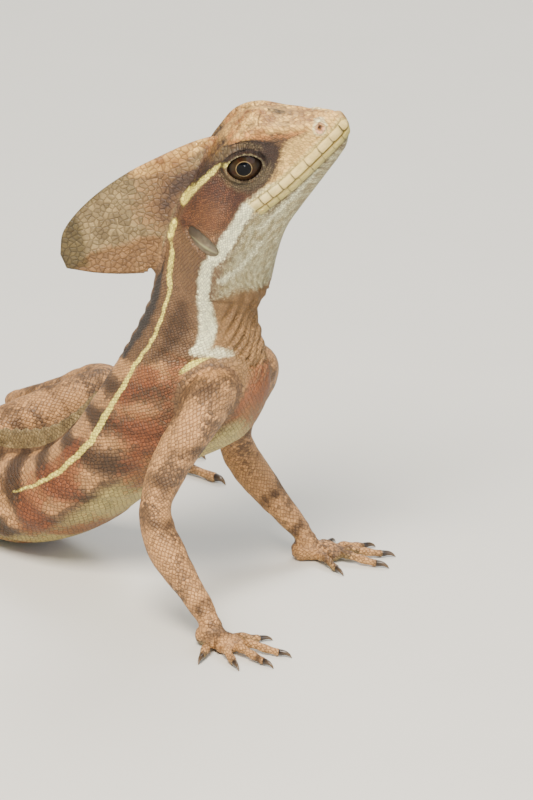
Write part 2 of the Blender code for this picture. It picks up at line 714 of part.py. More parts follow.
def limb_length(name, joints, stations, start, end, count, around, up, anchor, swell=0.0):
    """Make the length of a limb between two distances along it."""
    joints = np.asarray(joints, float)
    lengths = np.concatenate([[0.0], np.cumsum(np.linalg.norm(np.diff(joints, axis=0), axis=1))])
    at = np.linspace(start, end, count)
    wide = spline([s[0] for s in stations], [s[1] for s in stations], at)
    thick = spline([s[0] for s in stations], [s[2] for s in stations], at)
    return tube(name, guide(lengths, joints, at, anchor), wide + swell, thick + swell, up, around)


LIMB_SIDES = 12
ARM_STATIONS = ((0.0, 6.0, 7.0), (10.0, 5.4, 6.1), (21.0, 4.6, 4.8), (30.0, 3.8, 4.2),
                (35.0, 4.1, 4.4), (43.0, 4.4, 4.1), (53.0, 3.2, 2.9), (63.0, 2.6, 2.2))
ARM_UP = (0.8, 0.45, 0.1)
LEG_UP = (0.0, 0.0, 1.0)
LEG_STATIONS = ((0.0, 8.0, 7.0), (16.0, 6.6, 6.6), (30.0, 5.4, 5.6), (42.0, 4.4, 4.4),
                (56.0, 5.0, 4.8), (70.0, 3.6, 3.4), (86.0, 2.9, 2.6))


def make_arm(word, side):
    """Make the upper arm and the forearm of one side."""
    joints = [(h, side * s, z) for h, s, z in (SHOULDER, ELBOW, WRIST)]
    joints.insert(0, (SHOULDER[0] - 1.5, side * 4.0, SHOULDER[2] + 2.0))
    lengths = np.cumsum(np.linalg.norm(np.diff(np.array(joints), axis=0), axis=1))
    stations = [(distance + lengths[0], wide, thick) for distance, wide, thick in ARM_STATIONS]
    stations.insert(0, (0.0,) + ARM_STATIONS[0][1:])
    elbow, wrist = lengths[1], lengths[2]
    up = (ARM_UP[0], ARM_UP[1] * side, ARM_UP[2])
    upper = limb_length(f"upper_arm_{word}", joints, stations, 0.0, elbow - GAP / 2, 10,
                        LIMB_SIDES, up, BODY.shoulder)
    forearm = limb_length(f"forearm_{word}", joints, stations, elbow + GAP / 2, wrist - GAP / 2, 8,
                          LIMB_SIDES, up, BODY.shoulder)
    return upper, forearm


def make_leg(word, side):
    """Make the thigh and the shin of one side, and a cutter for the foot below the shin."""
    joints = [(h, side * s, z) for h, s, z in (HIP, KNEE[word], ANKLE[word])]
    lengths = np.cumsum(np.linalg.norm(np.diff(np.array(joints), axis=0), axis=1))
    knee, ankle = lengths
    thigh = limb_length(f"thigh_{word}", joints, LEG_STATIONS, 0.0, knee - GAP / 2, 9,
                        LIMB_SIDES, LEG_UP, BODY.hip)
    shin = limb_length(f"shin_{word}", joints, LEG_STATIONS, knee + GAP / 2, ankle - GAP / 2, 9,
                       LIMB_SIDES, LEG_UP, BODY.hip)
    cutter = limb_length("shin_cutter", joints, LEG_STATIONS, ankle - 22.0, ankle, 9,
                         LIMB_SIDES, LEG_UP, BODY.hip, swell=GAP)
    return thigh, shin, cutter


@dataclass(frozen=True)
class Digit:
    """One finger or toe: where it leaves the palm, its heading, its length and its girth."""

    root: tuple
    heading: float
    length: float
    radius: float


FINGERS = (
    Digit((3.5, 3.2), 62.0, 6.5, 1.05),
    Digit((6.8, 2.2), 27.0, 9.5, 1.05),
    Digit((7.8, 0.4), 2.0, 12.0, 1.1),
    Digit((7.2, -1.6), -22.0, 12.0, 1.1),
    Digit((4.0, -3.0), -58.0, 8.0, 1.0),
)
TOES = (
    Digit((10.0, 3.6), 46.0, 10.0, 1.2),
    Digit((19.0, 3.2), 26.0, 17.0, 1.3),
    Digit((23.0, 1.6), 11.0, 29.0, 1.4),
    Digit((24.0, -0.6), -4.0, 43.0, 1.45),
    Digit((10.0, -3.4), -44.0, 22.0, 1.3),
)
CLAW = 3.0


def make_paw(name, ankle, lead, yaw, side, digits, palm, anchor, stations):
    """Make a hand or foot with its claws on the floor, as one body."""
    ankle = np.asarray(ankle, float)
    heading = np.array([math.cos(math.radians(yaw)), side * math.sin(math.radians(yaw)), 0.0])
    across = np.array([-heading[1], heading[0], 0.0]) * side
    lead = np.asarray(lead, float)
    lead /= np.linalg.norm(lead)
    length, half_width, half_height = palm
    ground = np.array([ankle[0], ankle[1], 0.0])
    rise = np.array([0.0, 0.0, 1.0])
    steps = [GAP / 2, 2.0, 4.6, 6.4]
    stub = [ankle + lead * step for step in steps]
    wide = [stations[0], stations[0], stations[0] * 0.85, stations[0] * 0.5]
    thick = [stations[1], stations[1], stations[1] * 0.85, stations[1] * 0.5]
    paw = tube(name, guide(steps, stub, steps, anchor), wide, thick, stations[2], LIMB_SIDES)
    knots = [-2.9, -2.1, 1.0, 0.5 * length, length, length + 1.6]
    sole = [ground + heading * knot + rise * half_height * lift
            for knot, lift in zip(knots, (0.95, 1.0, 1.15, 1.0, 0.8, 0.7))]
    wide = half_width * np.array([0.3, 0.62, 0.86, 0.84, 1.0, 0.6])
    thick = half_height * np.array([0.5, 0.95, 1.15, 1.05, 0.85, 0.5])
    parts = [tube("sole", guide(knots, sole, knots, anchor), wide, thick, rise, 10)]
    for digit in digits:
        angle = math.radians(digit.heading)
        out = heading * math.cos(angle) + across * math.sin(angle)
        root = ground + heading * digit.root[0] + across * digit.root[1]
        reach = np.array([-2.5, 0.0, 0.35, 0.7, 1.0]) * np.array([1, 0, digit.length, digit.length, digit.length])
        height = np.array([1.5, 1.7, 2.0, 1.35, 0.9]) * digit.radius
        line = root + out * reach[:, None]
        line[:, 2] = height
        count = 5 + int(digit.length > 20) * 3
        at = np.linspace(reach[0], reach[-1], count)
        shrink = np.interp(at, [reach[0], 0, reach[-1]], [1.0, 1.0, 0.78])
        girth = digit.radius * shrink
        parts.append(tube("digit", guide(reach, line, at, anchor), girth * 1.1, girth, (0, 0, 1), 6))
        steps = np.array([-1.2, 0.0, 0.45 * CLAW, 0.8 * CLAW, CLAW])
        claw = root + out * (digit.length + steps)[:, None]
        claw[:, 2] = digit.radius * np.array([0.95, 1.0, 1.0, 0.6, 0.1]) + 0.05
        girth = digit.radius * np.array([0.5, 0.62, 0.45, 0.26, 0.06])
        parts.append(tube("claw", guide(steps, claw, steps, anchor), girth, girth * 1.15, (0, 0, 1), 5))
    apply_boolean(paw, "UNION", parts)
    cut_flat(paw)
    return paw


def cut_by_body(thing, start, end, count):
    """Cut a limb off at the skin of the trunk, leaving the gap between them."""
    cutter = body_length("swollen", start, end, count, TRUNK_SEGMENTS, swell=GAP)
    apply_boolean(thing, "DIFFERENCE", [cutter])


def dorsal_height(share):
    """Return the height of the fin on the back."""
    return 0.9 + 7.2 * math.sin(math.pi * min(1.0, share * 1.02)) ** 0.8 * (0.35 + 0.65 * share)


def caudal_height(share):
    """Return the height of the fin on the tail."""
    return 0.8 + 4.6 * math.sin(math.pi * min(1.0, share ** 0.7)) ** 0.9


def settle(things):
    """Move the model so that the middle of its foot is the origin, and turn it to metres."""
    corners = []
    for thing in things:
        points = np.empty(len(thing.data.vertices) * 3)
        thing.data.vertices.foreach_get("co", points)
        points = points.reshape(-1, 3)
        corners += [points.min(axis=0), points.max(axis=0)]
    low, high = np.min(corners, axis=0), np.max(corners, axis=0)
    shift = Matrix.Translation((-(low[0] + high[0]) / 2, -(low[1] + high[1]) / 2, -low[2]))
    for thing in things:
        thing.data.transform(Matrix.Scale(TO_METRES, 4) @ shift)
        thing.data.update()


def main():
    """Build every node."""
    remove(list(bpy.data.objects))
    nodes = []

    def keep(thing, look):
        finish(thing, look)
        nodes.append(thing)

    head = make_head()
    jaw = make_lower_jaw(head)
    crest = make_head_crest()
    cutter_at = np.linspace(BODY.knots[4], BODY.head_end, 20)
    swollen = BODY.place(BODY.rings(cutter_at, HEAD_SEGMENTS), cutter_at[:, None])
    middle = swollen.mean(axis=1, keepdims=True)
    out = swollen - middle
    swollen = middle + out * (1 + GAP / np.linalg.norm(out, axis=2, keepdims=True))
    neck_cutter = body_length("neck_cutter", BODY.head_end - 1.0, BODY.neck_end, 8, TRUNK_SEGMENTS, swell=GAP)
    apply_boolean(crest, "DIFFERENCE", [loft("head_cutter", swollen), neck_cutter])
    keep(head, HEAD_BROWN)
    keep(jaw, JAW_CREAM)
    keep(crest, CREST_TAN)
    for word, side in SIDES:
        keep(make_eye(f"eye_{word}", side), EYE_DARK)
        keep(make_ear(f"ear_{word}", side), EARDRUM_GREY)
    keep(body_length("neck", BODY.head_end + GAP / 2, BODY.neck_end - GAP / 2, 7, TRUNK_SEGMENTS), BODY_BROWN)
    torso = body_length("torso", BODY.neck_end + GAP / 2, BODY.tail_start - GAP / 2, 18, TRUNK_SEGMENTS)
    cut_flat(torso)
    keep(torso, BODY_BROWN)
    fin_start, fin_end = BODY.knots[len(HEAD_STATIONS) + 4], BODY.hip - 2.0
    keep(fin("dorsal_crest", fin_start, fin_end, 15, dorsal_height, GAP), CREST_TAN)

    places = [BODY.tail_start] + [BODY.share_of_tail(cut) for cut in TAIL_CUTS] + [BODY.knots[-1]]
    for index in range(len(places) - 1):
        last = index == len(places) - 2
        start, end = places[index] + GAP / 2, places[index + 1] - (0 if last else GAP / 2)
        length = body_length(f"tail_{index + 1}", start, end, 12, TAIL_SEGMENTS)
        cut_flat(length)
        keep(length, TAIL_BROWN)
    tail_fin_end = BODY.share_of_tail(TAIL_CUTS[0]) - 1.0
    keep(fin("tail_crest", BODY.tail_start + 6.0, tail_fin_end, 16, caudal_height, GAP), CREST_TAN)

    for word, side in SIDES:
        upper, forearm = make_arm(word, side)
        cut_by_body(upper, BODY.head_end, BODY.knots[len(HEAD_STATIONS) + 5], 20)
        keep(upper, LIMB_TAN)
        keep(forearm, LIMB_TAN)
        wrist = (WRIST[0], side * WRIST[1], WRIST[2])
        lead = (WRIST[0] - ELBOW[0], side * (WRIST[1] - ELBOW[1]), WRIST[2] - ELBOW[2])
        up = (ARM_UP[0], ARM_UP[1] * side, ARM_UP[2])
        hand = make_paw(f"hand_{word}", wrist, lead, HAND_YAW, side, FINGERS, (8.0, 3.8, 2.2),
                        BODY.shoulder, ARM_STATIONS[-1][1:] + (up,))
        keep(hand, LIMB_TAN)
        thigh, shin, shin_cutter = make_leg(word, side)
        cut_by_body(thigh, BODY.knots[len(HEAD_STATIONS) + 6], BODY.tail_start, 12)
        keep(thigh, LIMB_TAN)
        keep(shin, LIMB_TAN)
        ankle = np.array(ANKLE[word]) * (1.0, side, 1.0)
        lead = ankle - np.array(KNEE[word]) * (1.0, side, 1.0)
        foot = make_paw(f"foot_{word}", ankle, lead, FOOT_YAW[word], side, TOES, (25.0, 4.4, 2.6),
                        BODY.hip, LEG_STATIONS[-1][1:] + (LEG_UP,))
        apply_boolean(foot, "DIFFERENCE", [shin_cutter])
        keep(foot, LIMB_TAN)
    settle(nodes)


main()
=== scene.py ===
"""Looks of a life-size common basilisk (Basiliscus basiliscus), a young adult male.

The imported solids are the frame.  One living skin replaces all the flesh: it is worked out as
numpy surfaces along the body, the limbs, the digits and the crests, joined into one surface,
softened where they meet and then parted into pieces that share their edges.  The eyes, the
eardrums and the claws are pieces of their own.

Lengths are millimetres until a piece is made, and the same forms and numbers as the solids'
are used, so that the skin lies on them.  The body is drawn in one upright plane, h forward and
z up, and then bent station by station.  The head has its own frame, f forward along the
mouth, u up, from the tip of the snout.  On the skin, s is the way along the body from the
snout and v the way round from the middle of the back.
"""
from __future__ import annotations

import logging
import math
from dataclasses import dataclass, field
from enum import Enum

import bpy
import numpy as np
from mathutils import Matrix, Vector

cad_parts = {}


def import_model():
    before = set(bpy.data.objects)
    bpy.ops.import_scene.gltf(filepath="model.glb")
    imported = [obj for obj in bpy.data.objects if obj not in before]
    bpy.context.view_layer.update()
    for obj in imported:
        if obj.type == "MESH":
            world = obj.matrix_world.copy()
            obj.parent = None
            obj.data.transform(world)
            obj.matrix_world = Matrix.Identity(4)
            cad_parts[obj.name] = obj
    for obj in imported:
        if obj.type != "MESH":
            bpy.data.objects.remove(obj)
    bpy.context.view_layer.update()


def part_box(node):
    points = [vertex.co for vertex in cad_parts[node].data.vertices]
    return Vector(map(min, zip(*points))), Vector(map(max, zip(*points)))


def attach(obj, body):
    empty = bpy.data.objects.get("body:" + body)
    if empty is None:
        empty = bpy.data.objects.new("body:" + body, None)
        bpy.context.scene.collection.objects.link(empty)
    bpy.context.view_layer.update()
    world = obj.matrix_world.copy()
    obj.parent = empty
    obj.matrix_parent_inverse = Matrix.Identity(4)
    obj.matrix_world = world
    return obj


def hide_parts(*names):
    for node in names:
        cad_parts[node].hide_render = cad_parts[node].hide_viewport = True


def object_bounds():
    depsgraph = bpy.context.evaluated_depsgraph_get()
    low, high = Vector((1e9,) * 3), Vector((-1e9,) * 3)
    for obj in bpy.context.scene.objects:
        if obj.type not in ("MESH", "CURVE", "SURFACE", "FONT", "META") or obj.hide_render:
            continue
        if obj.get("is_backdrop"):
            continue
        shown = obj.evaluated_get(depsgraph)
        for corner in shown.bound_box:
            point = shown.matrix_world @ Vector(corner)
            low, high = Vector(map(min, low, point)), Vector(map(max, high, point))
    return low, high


LOG = logging.getLogger("basilisk")
TO_METRES = 0.001
Array = np.ndarray
Socket = bpy.types.NodeSocket

# The head's frame: the tip of the snout in the upright plane, and how the nose points
SNOUT_TIP = (120.4, 124.1)
HEAD_PITCH = math.radians(36.0)
HEAD_YAW = 50.0
HEAD_ROLL = 7.5
ROLL_PIVOT = (87.0, 66.0)
FLOOR_BITE = 0.45
TAIL_LENGTH = 500.0
# Depth inside a marking of every point that is well outside it
FAR = -9.0
MIRROR = np.array([1.0, -1.0, 1.0])

# Head sections: crown (f, u), brow (side, u), cheek, lip, mouth edge, jaw (side, u), throat (f, u)
HEAD_STATIONS = (
    ((-0.5, 1.6), (1.7, 1.2), 2.3, 2.3, -2.0, (1.7, -3.6), (-1.6, -4.3)),
    ((-2.4, 3.8), (3.0, 2.8), 4.1, 3.9, -2.0, (3.0, -4.9), (-3.2, -5.5)),
    ((-5.6, 5.7), (4.5, 4.5), 5.4, 5.4, -2.0, (4.0, -5.9), (-6.0, -6.6)),
    ((-10.2, 9.5), (6.2, 7.8), 6.7, 7.3, -2.2, (5.1, -7.1), (-10.5, -7.8)),
    ((-15.2, 14.4), (7.8, 12.1), 8.4, 9.0, -2.5, (6.2, -8.4), (-15.5, -9.2)),
    ((-20.2, 15.1), (8.3, 13.9), 9.9, 10.4, -2.6, (7.2, -9.7), (-20.5, -10.6)),
    ((-25.6, 14.8), (7.2, 13.5), 10.5, 11.6, -2.3, (8.2, -11.0), (-25.0, -12.2)),
    ((-31.6, 13.2), (6.0, 11.6), 11.3, 12.6, -2.0, (8.9, -13.2), (-29.4, -15.0)),
    ((-38.4, 10.0), (5.4, 8.6), 12.2, 13.2, -3.0, (8.8, -16.6), (-33.6, -18.6)),
    ((-46.4, 5.6), (5.0, 4.2), 12.3, 13.0, -5.6, (8.2, -20.2), (-37.4, -22.0)),
    ((-59.6, -5.0), (4.4, -6.4), 9.6, 11.2, -14.6, (7.4, -23.6), (-42.0, -24.6)),
)
# Trunk sections: back (h, z), belly (h, z), half width, height of the widest, yaw, roll
TRUNK_STATIONS = (
    ((74.0, 77.5), (99.4, 73.6), 10.4, 0.50, 44.0, 5.0),
    ((71.4, 70.8), (101.2, 65.6), 11.4, 0.48, 36.0, 2.5),
    ((66.8, 62.2), (103.2, 54.8), 13.8, 0.46, 28.0, 0.0),
    ((62.2, 54.8), (98.6, 44.2), 14.2, 0.46, 23.0, 0.0),
    ((57.2, 47.0), (85.4, 35.0), 13.6, 0.46, 18.0, 0.0),
    ((50.4, 37.6), (70.6, 23.4), 14.2, 0.45, 11.0, 0.0),
    ((40.8, 29.0), (55.6, 11.2), 15.0, 0.43, 5.0, 0.0),
    ((26.8, 23.0), (34.6, 1.8), 14.4, 0.42, 0.0, 0.0),
    ((10.4, 20.6), (12.6, -0.2), 12.0, 0.42, -2.0, 0.0),
    ((-5.0, 19.8), (-5.4, -0.4), 10.6, 0.44, -3.0, 0.0),
    ((-21.0, 16.8), (-21.0, -0.4), 8.4, 0.46, -6.0, 0.0),
)
# Tail sections: share of the tail, height, half width, yaw
TAIL_STATIONS = (
    (0.07, 13.8, 6.2, -13.0), (0.16, 11.6, 5.0, -22.0), (0.30, 9.2, 3.8, -10.0),
    (0.46, 6.8, 2.8, 18.0), (0.62, 4.8, 2.0, 32.0), (0.78, 3.2, 1.3, 14.0),
    (0.92, 1.9, 0.8, -16.0), (1.00, 1.2, 0.5, -30.0),
)


# Curves, noise and distances


def hermite(t: Array, a: Array, b: Array, leave: Array, arrive: Array) -> Array:
    """Cubic from a to b as t goes from 0 to 1, with the given tangents at its ends."""
    return ((2 * t**3 - 3 * t**2 + 1) * a + (t**3 - 2 * t**2 + t) * leave
            + (3 * t**2 - 2 * t**3) * b + (t**3 - t**2) * arrive)


def spline(knots: Array, values: Array, at: Array, tense: bool = False) -> Array:
    """Cubic Hermite curve through values, each tangent the weighted mean of its two slopes.

    Args:
        knots: Rising places of the values.
        values: One value or vector at each knot.
        at: Places to read, clipped to the knots.
        tense: Use harmonic means, which never overshoot.

    Returns:
        The curve at each place.
    """
    knots, values = np.asarray(knots, float), np.asarray(values, float)
    at = np.clip(np.asarray(at, float), knots[0], knots[-1])
    widths = np.diff(knots)
    shape = (-1,) + (1,) * (values.ndim - 1)
    slopes = np.diff(values, axis=0) / widths.reshape(shape)
    before, after = widths[:-1].reshape(shape), widths[1:].reshape(shape)
    inner = (slopes[:-1] * after + slopes[1:] * before) / (before + after)
    if tense:
        same = slopes[:-1] * slopes[1:] > 0
        total = np.where(same, slopes[:-1] + slopes[1:], 1.0)
        inner = np.where(same, 2 * slopes[:-1] * slopes[1:] / total, 0.0)
    tangents = np.concatenate([slopes[:1], inner, slopes[-1:]])
    if tense:
        tangents[0] = tangents[-1] = 0.0
    piece = np.clip(np.searchsorted(knots, at, side="right") - 1, 0, len(widths) - 1)
    t = ((at - knots[piece]) / widths[piece]).reshape(at.shape + (1,) * (values.ndim - 1))
    width = widths[piece].reshape(t.shape)
    return hermite(t, values[piece], values[piece + 1],
                   width * tangents[piece], width * tangents[piece + 1])


def ramp(low: float, high: float, value: Array) -> Array:
    """Smooth step: 0 at low, 1 at high, 3t² − 2t³ between them."""
    t = np.clip((np.asarray(value, float) - low) / (high - low), 0.0, 1.0)
    return t * t * (3 - 2 * t)


def hill(value: Array, width: float) -> Array:
    """Bell curve exp(−(value / width)²)."""
    return np.exp(-((np.asarray(value, float) / width) ** 2))


def noise(points: Array, size: float, seed: int) -> Array:
    """Value noise: random numbers on a cubic lattice, blended by smooth steps.

    Args:
        points: Places, with their last axis of length 3.
        size: Lattice spacing in the points' unit.
        seed: Which noise.

    Returns:
        Numbers from −1 to 1.
    """
    table = np.random.default_rng(seed).uniform(-1.0, 1.0, 4096)
    cell = np.floor(points / size).astype(np.int64)
    t = points / size - cell
    t = t * t * (3 - 2 * t)
    total = np.zeros(points.shape[:-1])
    for corner in range(8):
        step = np.array([corner & 1, corner >> 1 & 1, corner >> 2 & 1])
        key = (cell + step) @ np.array([73856093, 19349663, 83492791])
        weight = np.where(step == 1, t, 1 - t).prod(axis=-1)
        total += weight * table[(key ^ (key >> 13)) & 4095]
    return total


def least(*fields: Array) -> Array:
    """Smallest of several fields at each point."""
    return np.minimum.reduce(np.broadcast_arrays(*fields))


def most(*fields: Array) -> Array:
    """Largest of several fields at each point."""
    return np.maximum.reduce(np.broadcast_arrays(*fields))


def only(where: Array, depth: Array) -> Array:
    """A depth where a condition holds, and far outside elsewhere."""
    return np.where(where, depth, FAR)


def turned(a: Array, b: Array, angle: Array | float) -> tuple[Array, Array]:
    """Turn the pair (a, b): a·cos − b·sin and a·sin + b·cos."""
    cos, sin = np.cos(angle), np.sin(angle)
    return a * cos - b * sin, a * sin + b * cos


def unit(vectors: Array) -> Array:
    """Vectors scaled to a length of one."""
    return vectors / np.linalg.norm(vectors, axis=-1, keepdims=True)


def on_floor(points: Array) -> Array:
    """Lift points that lie below the floor up to it."""
    return np.concatenate([points[..., :2], np.maximum(points[..., 2:], 0.0)], axis=-1)


def piece_gap(a: Array, b: Array, start: Array, end: Array) -> tuple[Array, Array]:
    """Share of the way along a straight piece nearest to each point, and the distance to it."""
    way = end[:2] - start[:2]
    t = np.clip(((a - start[0]) * way[0] + (b - start[1]) * way[1]) / (way @ way), 0, 1)
    return t, np.hypot(a - start[0] - t * way[0], b - start[1] - t * way[1])


def path_depth(a: Array, b: Array, path: Array) -> Array:
    """How far inside a stroke each point lies: half the stroke's width less the distance to it.

    Args:
        a: First coordinate of the points.
        b: Second coordinate of the points.
        path: Rows of (a, b, half width) along the stroke.

    Returns:
        Millimetres, positive inside the stroke.
    """
    path = np.asarray(path, float)
    best = np.full(np.shape(a), FAR)
    for start, end in zip(path[:-1], path[1:]):
        t, gap = piece_gap(a, b, start, end)
        best = np.maximum(best, start[2] + t * (end[2] - start[2]) - gap)
    return best


def patch_depth(a: Array, b: Array, outline: Array) -> Array:
    """How far inside a closed outline each point lies, negative outside it (even-odd rule)."""
    outline = np.asarray(outline, float)
    inside = np.zeros(np.shape(a), bool)
    gap = np.full(np.shape(a), -FAR)
    for start, end in zip(outline, np.roll(outline, -1, axis=0)):
        gap = np.minimum(gap, piece_gap(a, b, start, end)[1])
        if end[1] != start[1]:
            crossing = start[0] + (b - start[1]) / (end[1] - start[1]) * (end[0] - start[0])
            inside ^= ((b > start[1]) != (b > end[1])) & (a < crossing)
    return np.where(inside, gap, -gap)


# Surfaces and meshes


@dataclass
class Sheet:
    """One closed surface, with the pattern fields of its skin, before it is joined.

    blend is the width of the soft joint with other sheets, and soft how far it may move there.
    """

    part: str
    points: Array
    quads: Array
    tris: Array
    fields: dict[str, Array]
    blend: float = 4.5
    soft: float = 1.0

    def outward(self) -> "Sheet":
        """Turn every face outwards: the signed volume of the faces must be positive."""
        corners = np.concatenate([self.quads[:, [0, 1, 2]], self.quads[:, [0, 2, 3]], self.tris])
        a, b, c = (self.points[corners[:, k]] for k in range(3))
        if (a * np.cross(b, c)).sum() < 0:
            self.quads, self.tris = self.quads[:, ::-1], self.tris[:, ::-1]
        return self


def stack_faces(counts: list[int]) -> tuple[Array, Array]:
    """Faces between stacked closed rings, whose counts stay equal or halve from one to the next.

    Equal rings are joined by quads.  Where the count halves, each long edge of the sparser ring
    meets two edges of the denser one in three triangles.  Both ends close in a fan.

    Args:
        counts: Points in each ring.

    Returns:
        Quads and triangles; the two end points come last.
    """
    starts = np.concatenate([[0], np.cumsum(counts)])
    quads, tris = [], []
    for row, (count, after) in enumerate(zip(counts[:-1], counts[1:])):
        a, b = starts[row], starts[row + 1]
        i = np.arange(after)
        j = (i + 1) % after
        if count == after:
            quads.append(np.stack([a + i, a + j, b + j, b + i], axis=1))
        else:
            fine = [a + 2 * i, a + 2 * i + 1, a + (2 * i + 2) % count]
            tris.append(np.stack([b + i, fine[0], fine[1]], axis=1))
            tris.append(np.stack([b + i, fine[1], b + j], axis=1))
            tris.append(np.stack([b + j, fine[1], fine[2]], axis=1))
    total = starts[-1]
    for pole, base, count in ((total, 0, counts[0]), (total + 1, starts[-2], counts[-1])):
        i = np.arange(count)
        fan = np.stack([np.full(count, pole), base + (i + 1) % count, base + i], axis=1)
        tris.append(fan if pole == total else fan[:, ::-1])
    return np.concatenate(quads), np.concatenate(tris)


def running(steps: Array) -> Array:
    """Running sum of the steps, from 0."""
    return np.concatenate([[0.0], np.cumsum(steps)])


def with_ends(rows: list[Array]) -> Array:
    """One array of all rows, then the mean of the first and the mean of the last."""
    return np.concatenate([*rows, [rows[0].mean(axis=0)], [rows[-1].mean(axis=0)]])


def ring_sheet(part: str, rings: list[Array], fields: dict[str, list[Array]]) -> Sheet:
    """Close a stack of rings with a point at each end, the mean of the end ring."""
    flat = {name: with_ends(values) for name, values in fields.items()}
    return Sheet(part, with_ends(rings), *stack_faces([len(ring) for ring in rings]), flat).outward()


def even_sheet(part: str, rings: Array, fields: dict[str, Array]) -> Sheet:
    """Close a stack of equal rings, whose fields may be one value for each row or column."""
    return ring_sheet(part, rings, {k: np.broadcast_to(x, rings.shape[:2]) for k, x in fields.items()})


def mesh_from(name: str, points: Array, corners: Array, starts: Array) -> bpy.types.Mesh:
    """Put a mesh's arrays into Blender in one go.

    Args:
        name: Name of the mesh.
        points: Places of its points.
        corners: Point of each face corner, face after face.
        starts: Where each face's corners begin.

    Returns:
        The mesh, shaded smooth.
    """
    mesh = bpy.data.meshes.new(name)
    mesh.vertices.add(len(points))
    mesh.vertices.foreach_set("co", np.ascontiguousarray(points, np.float32).ravel())
    mesh.loops.add(len(corners))
    mesh.loops.foreach_set("vertex_index", np.ascontiguousarray(corners, np.int32))
    mesh.polygons.add(len(starts))
    mesh.polygons.foreach_set("loop_start", np.ascontiguousarray(starts, np.int32))
    mesh.update(calc_edges=True)
    mesh.validate()
    mesh.shade_smooth()
    return mesh


def sheet_mesh(name: str, sheet: Sheet, scale: float = 1.0) -> bpy.types.Mesh:
    """Make a sheet's mesh, quads first."""
    corners = np.concatenate([sheet.quads.ravel(), sheet.tris.ravel()])
    quads, tris = len(sheet.quads), len(sheet.tris)
    starts = np.concatenate([np.arange(quads) * 4, quads * 4 + np.arange(tris) * 3])
    return mesh_from(name, sheet.points * scale, corners, starts)


def place_in_scene(name: str, data: bpy.types.ID) -> bpy.types.Object:
    """Link a mesh, light or camera as an object at the origin."""
    thing = bpy.data.objects.new(name, data)
    bpy.context.scene.collection.objects.link(thing)
    return thing


def add_fields(mesh: bpy.types.Mesh, fields: dict[str, Array], kept: dict[str, tuple[str, ...]]) -> None:
    """Store fields on a mesh's points, one alone or three together, each under a name of kept."""
    for key, names in kept.items():
        alone = len(names) == 1
        layer = mesh.attributes.new(key, "FLOAT" if alone else "FLOAT_VECTOR", "POINT")
        values = np.stack([fields[name] for name in names], axis=-1).astype(np.float32)
        layer.data.foreach_set("value" if alone else "vector", values.ravel())


def make_piece(name: str, sheet: Sheet, kept: dict[str, tuple[str, ...]]) -> bpy.types.Object:
    """Make a finished piece of a sheet, in metres, with some of its fields."""
    mesh = sheet_mesh(name, sheet, TO_METRES)
    add_fields(mesh, sheet.fields, kept)
    return place_in_scene(name, mesh)


def read_rows(rows: bpy.types.bpy_prop_collection, name: str, width: int, kind: type) -> Array:
    """One property of all the rows of a list in Blender."""
    values = np.empty(len(rows) * width, kind)
    rows.foreach_get(name, values)
    return values.reshape(-1, width) if width > 1 else values


# The body's form


def head_to_plane(f: Array, side: Array, u: Array) -> Array:
    """Turn the head's f, side and u into the upright plane's h, side and z."""
    h = SNOUT_TIP[0] + f * math.cos(HEAD_PITCH) - u * math.sin(HEAD_PITCH)
    z = SNOUT_TIP[1] + f * math.sin(HEAD_PITCH) + u * math.cos(HEAD_PITCH)
    return np.stack([h, side + 0 * h, z], axis=-1)


def plane_to_head(points: Array) -> tuple[Array, Array, Array]:
    """Turn the upright plane's points back into f, side and u."""
    f, u = turned(points[..., 0] - SNOUT_TIP[0], points[..., 2] - SNOUT_TIP[1], -HEAD_PITCH)
    return f, points[..., 1], u


def head_section(station: tuple) -> Array:
    """Nine points of one head section, from the crown down the side to the throat."""
    crown, (brow_side, brow_up), cheek, lip, mouth_up, (jaw_side, jaw_up), throat = station
    lip_depth = 0.16 * (brow_up - mouth_up)
    side, u = np.array((
        (0.0, crown[1]),
        (0.55 * brow_side, 0.5 * (crown[1] + brow_up)),
        (brow_side, brow_up),
        (cheek, 0.42 * brow_up + 0.58 * mouth_up),
        (lip, mouth_up + lip_depth),
        (lip - 0.35, mouth_up),
        (0.72 * lip + 0.28 * jaw_side, 0.62 * mouth_up + 0.38 * jaw_up),
        (jaw_side, jaw_up),
        (0.0, throat[1]),
    )).T
    share = (crown[1] - u) / (crown[1] - throat[1])
    return head_to_plane(crown[0] + share * (throat[0] - crown[0]), side, u)


def oval_section(back: tuple, belly: tuple, half_width: float, widest: float) -> Array:
    """Nine points of a half oval from the back to the belly, widest at a share of its height."""
    turn = np.linspace(0.0, math.pi, 9)
    top, foot = np.array(back), np.array(belly)
    centre = foot + widest * (top - foot)
    rise = np.cos(turn)[:, None]
    middle = centre + np.where(rise > 0, rise * (top - centre), -rise * (foot - centre))
    return np.stack([middle[:, 0], half_width * np.sin(turn), middle[:, 1]], axis=-1)


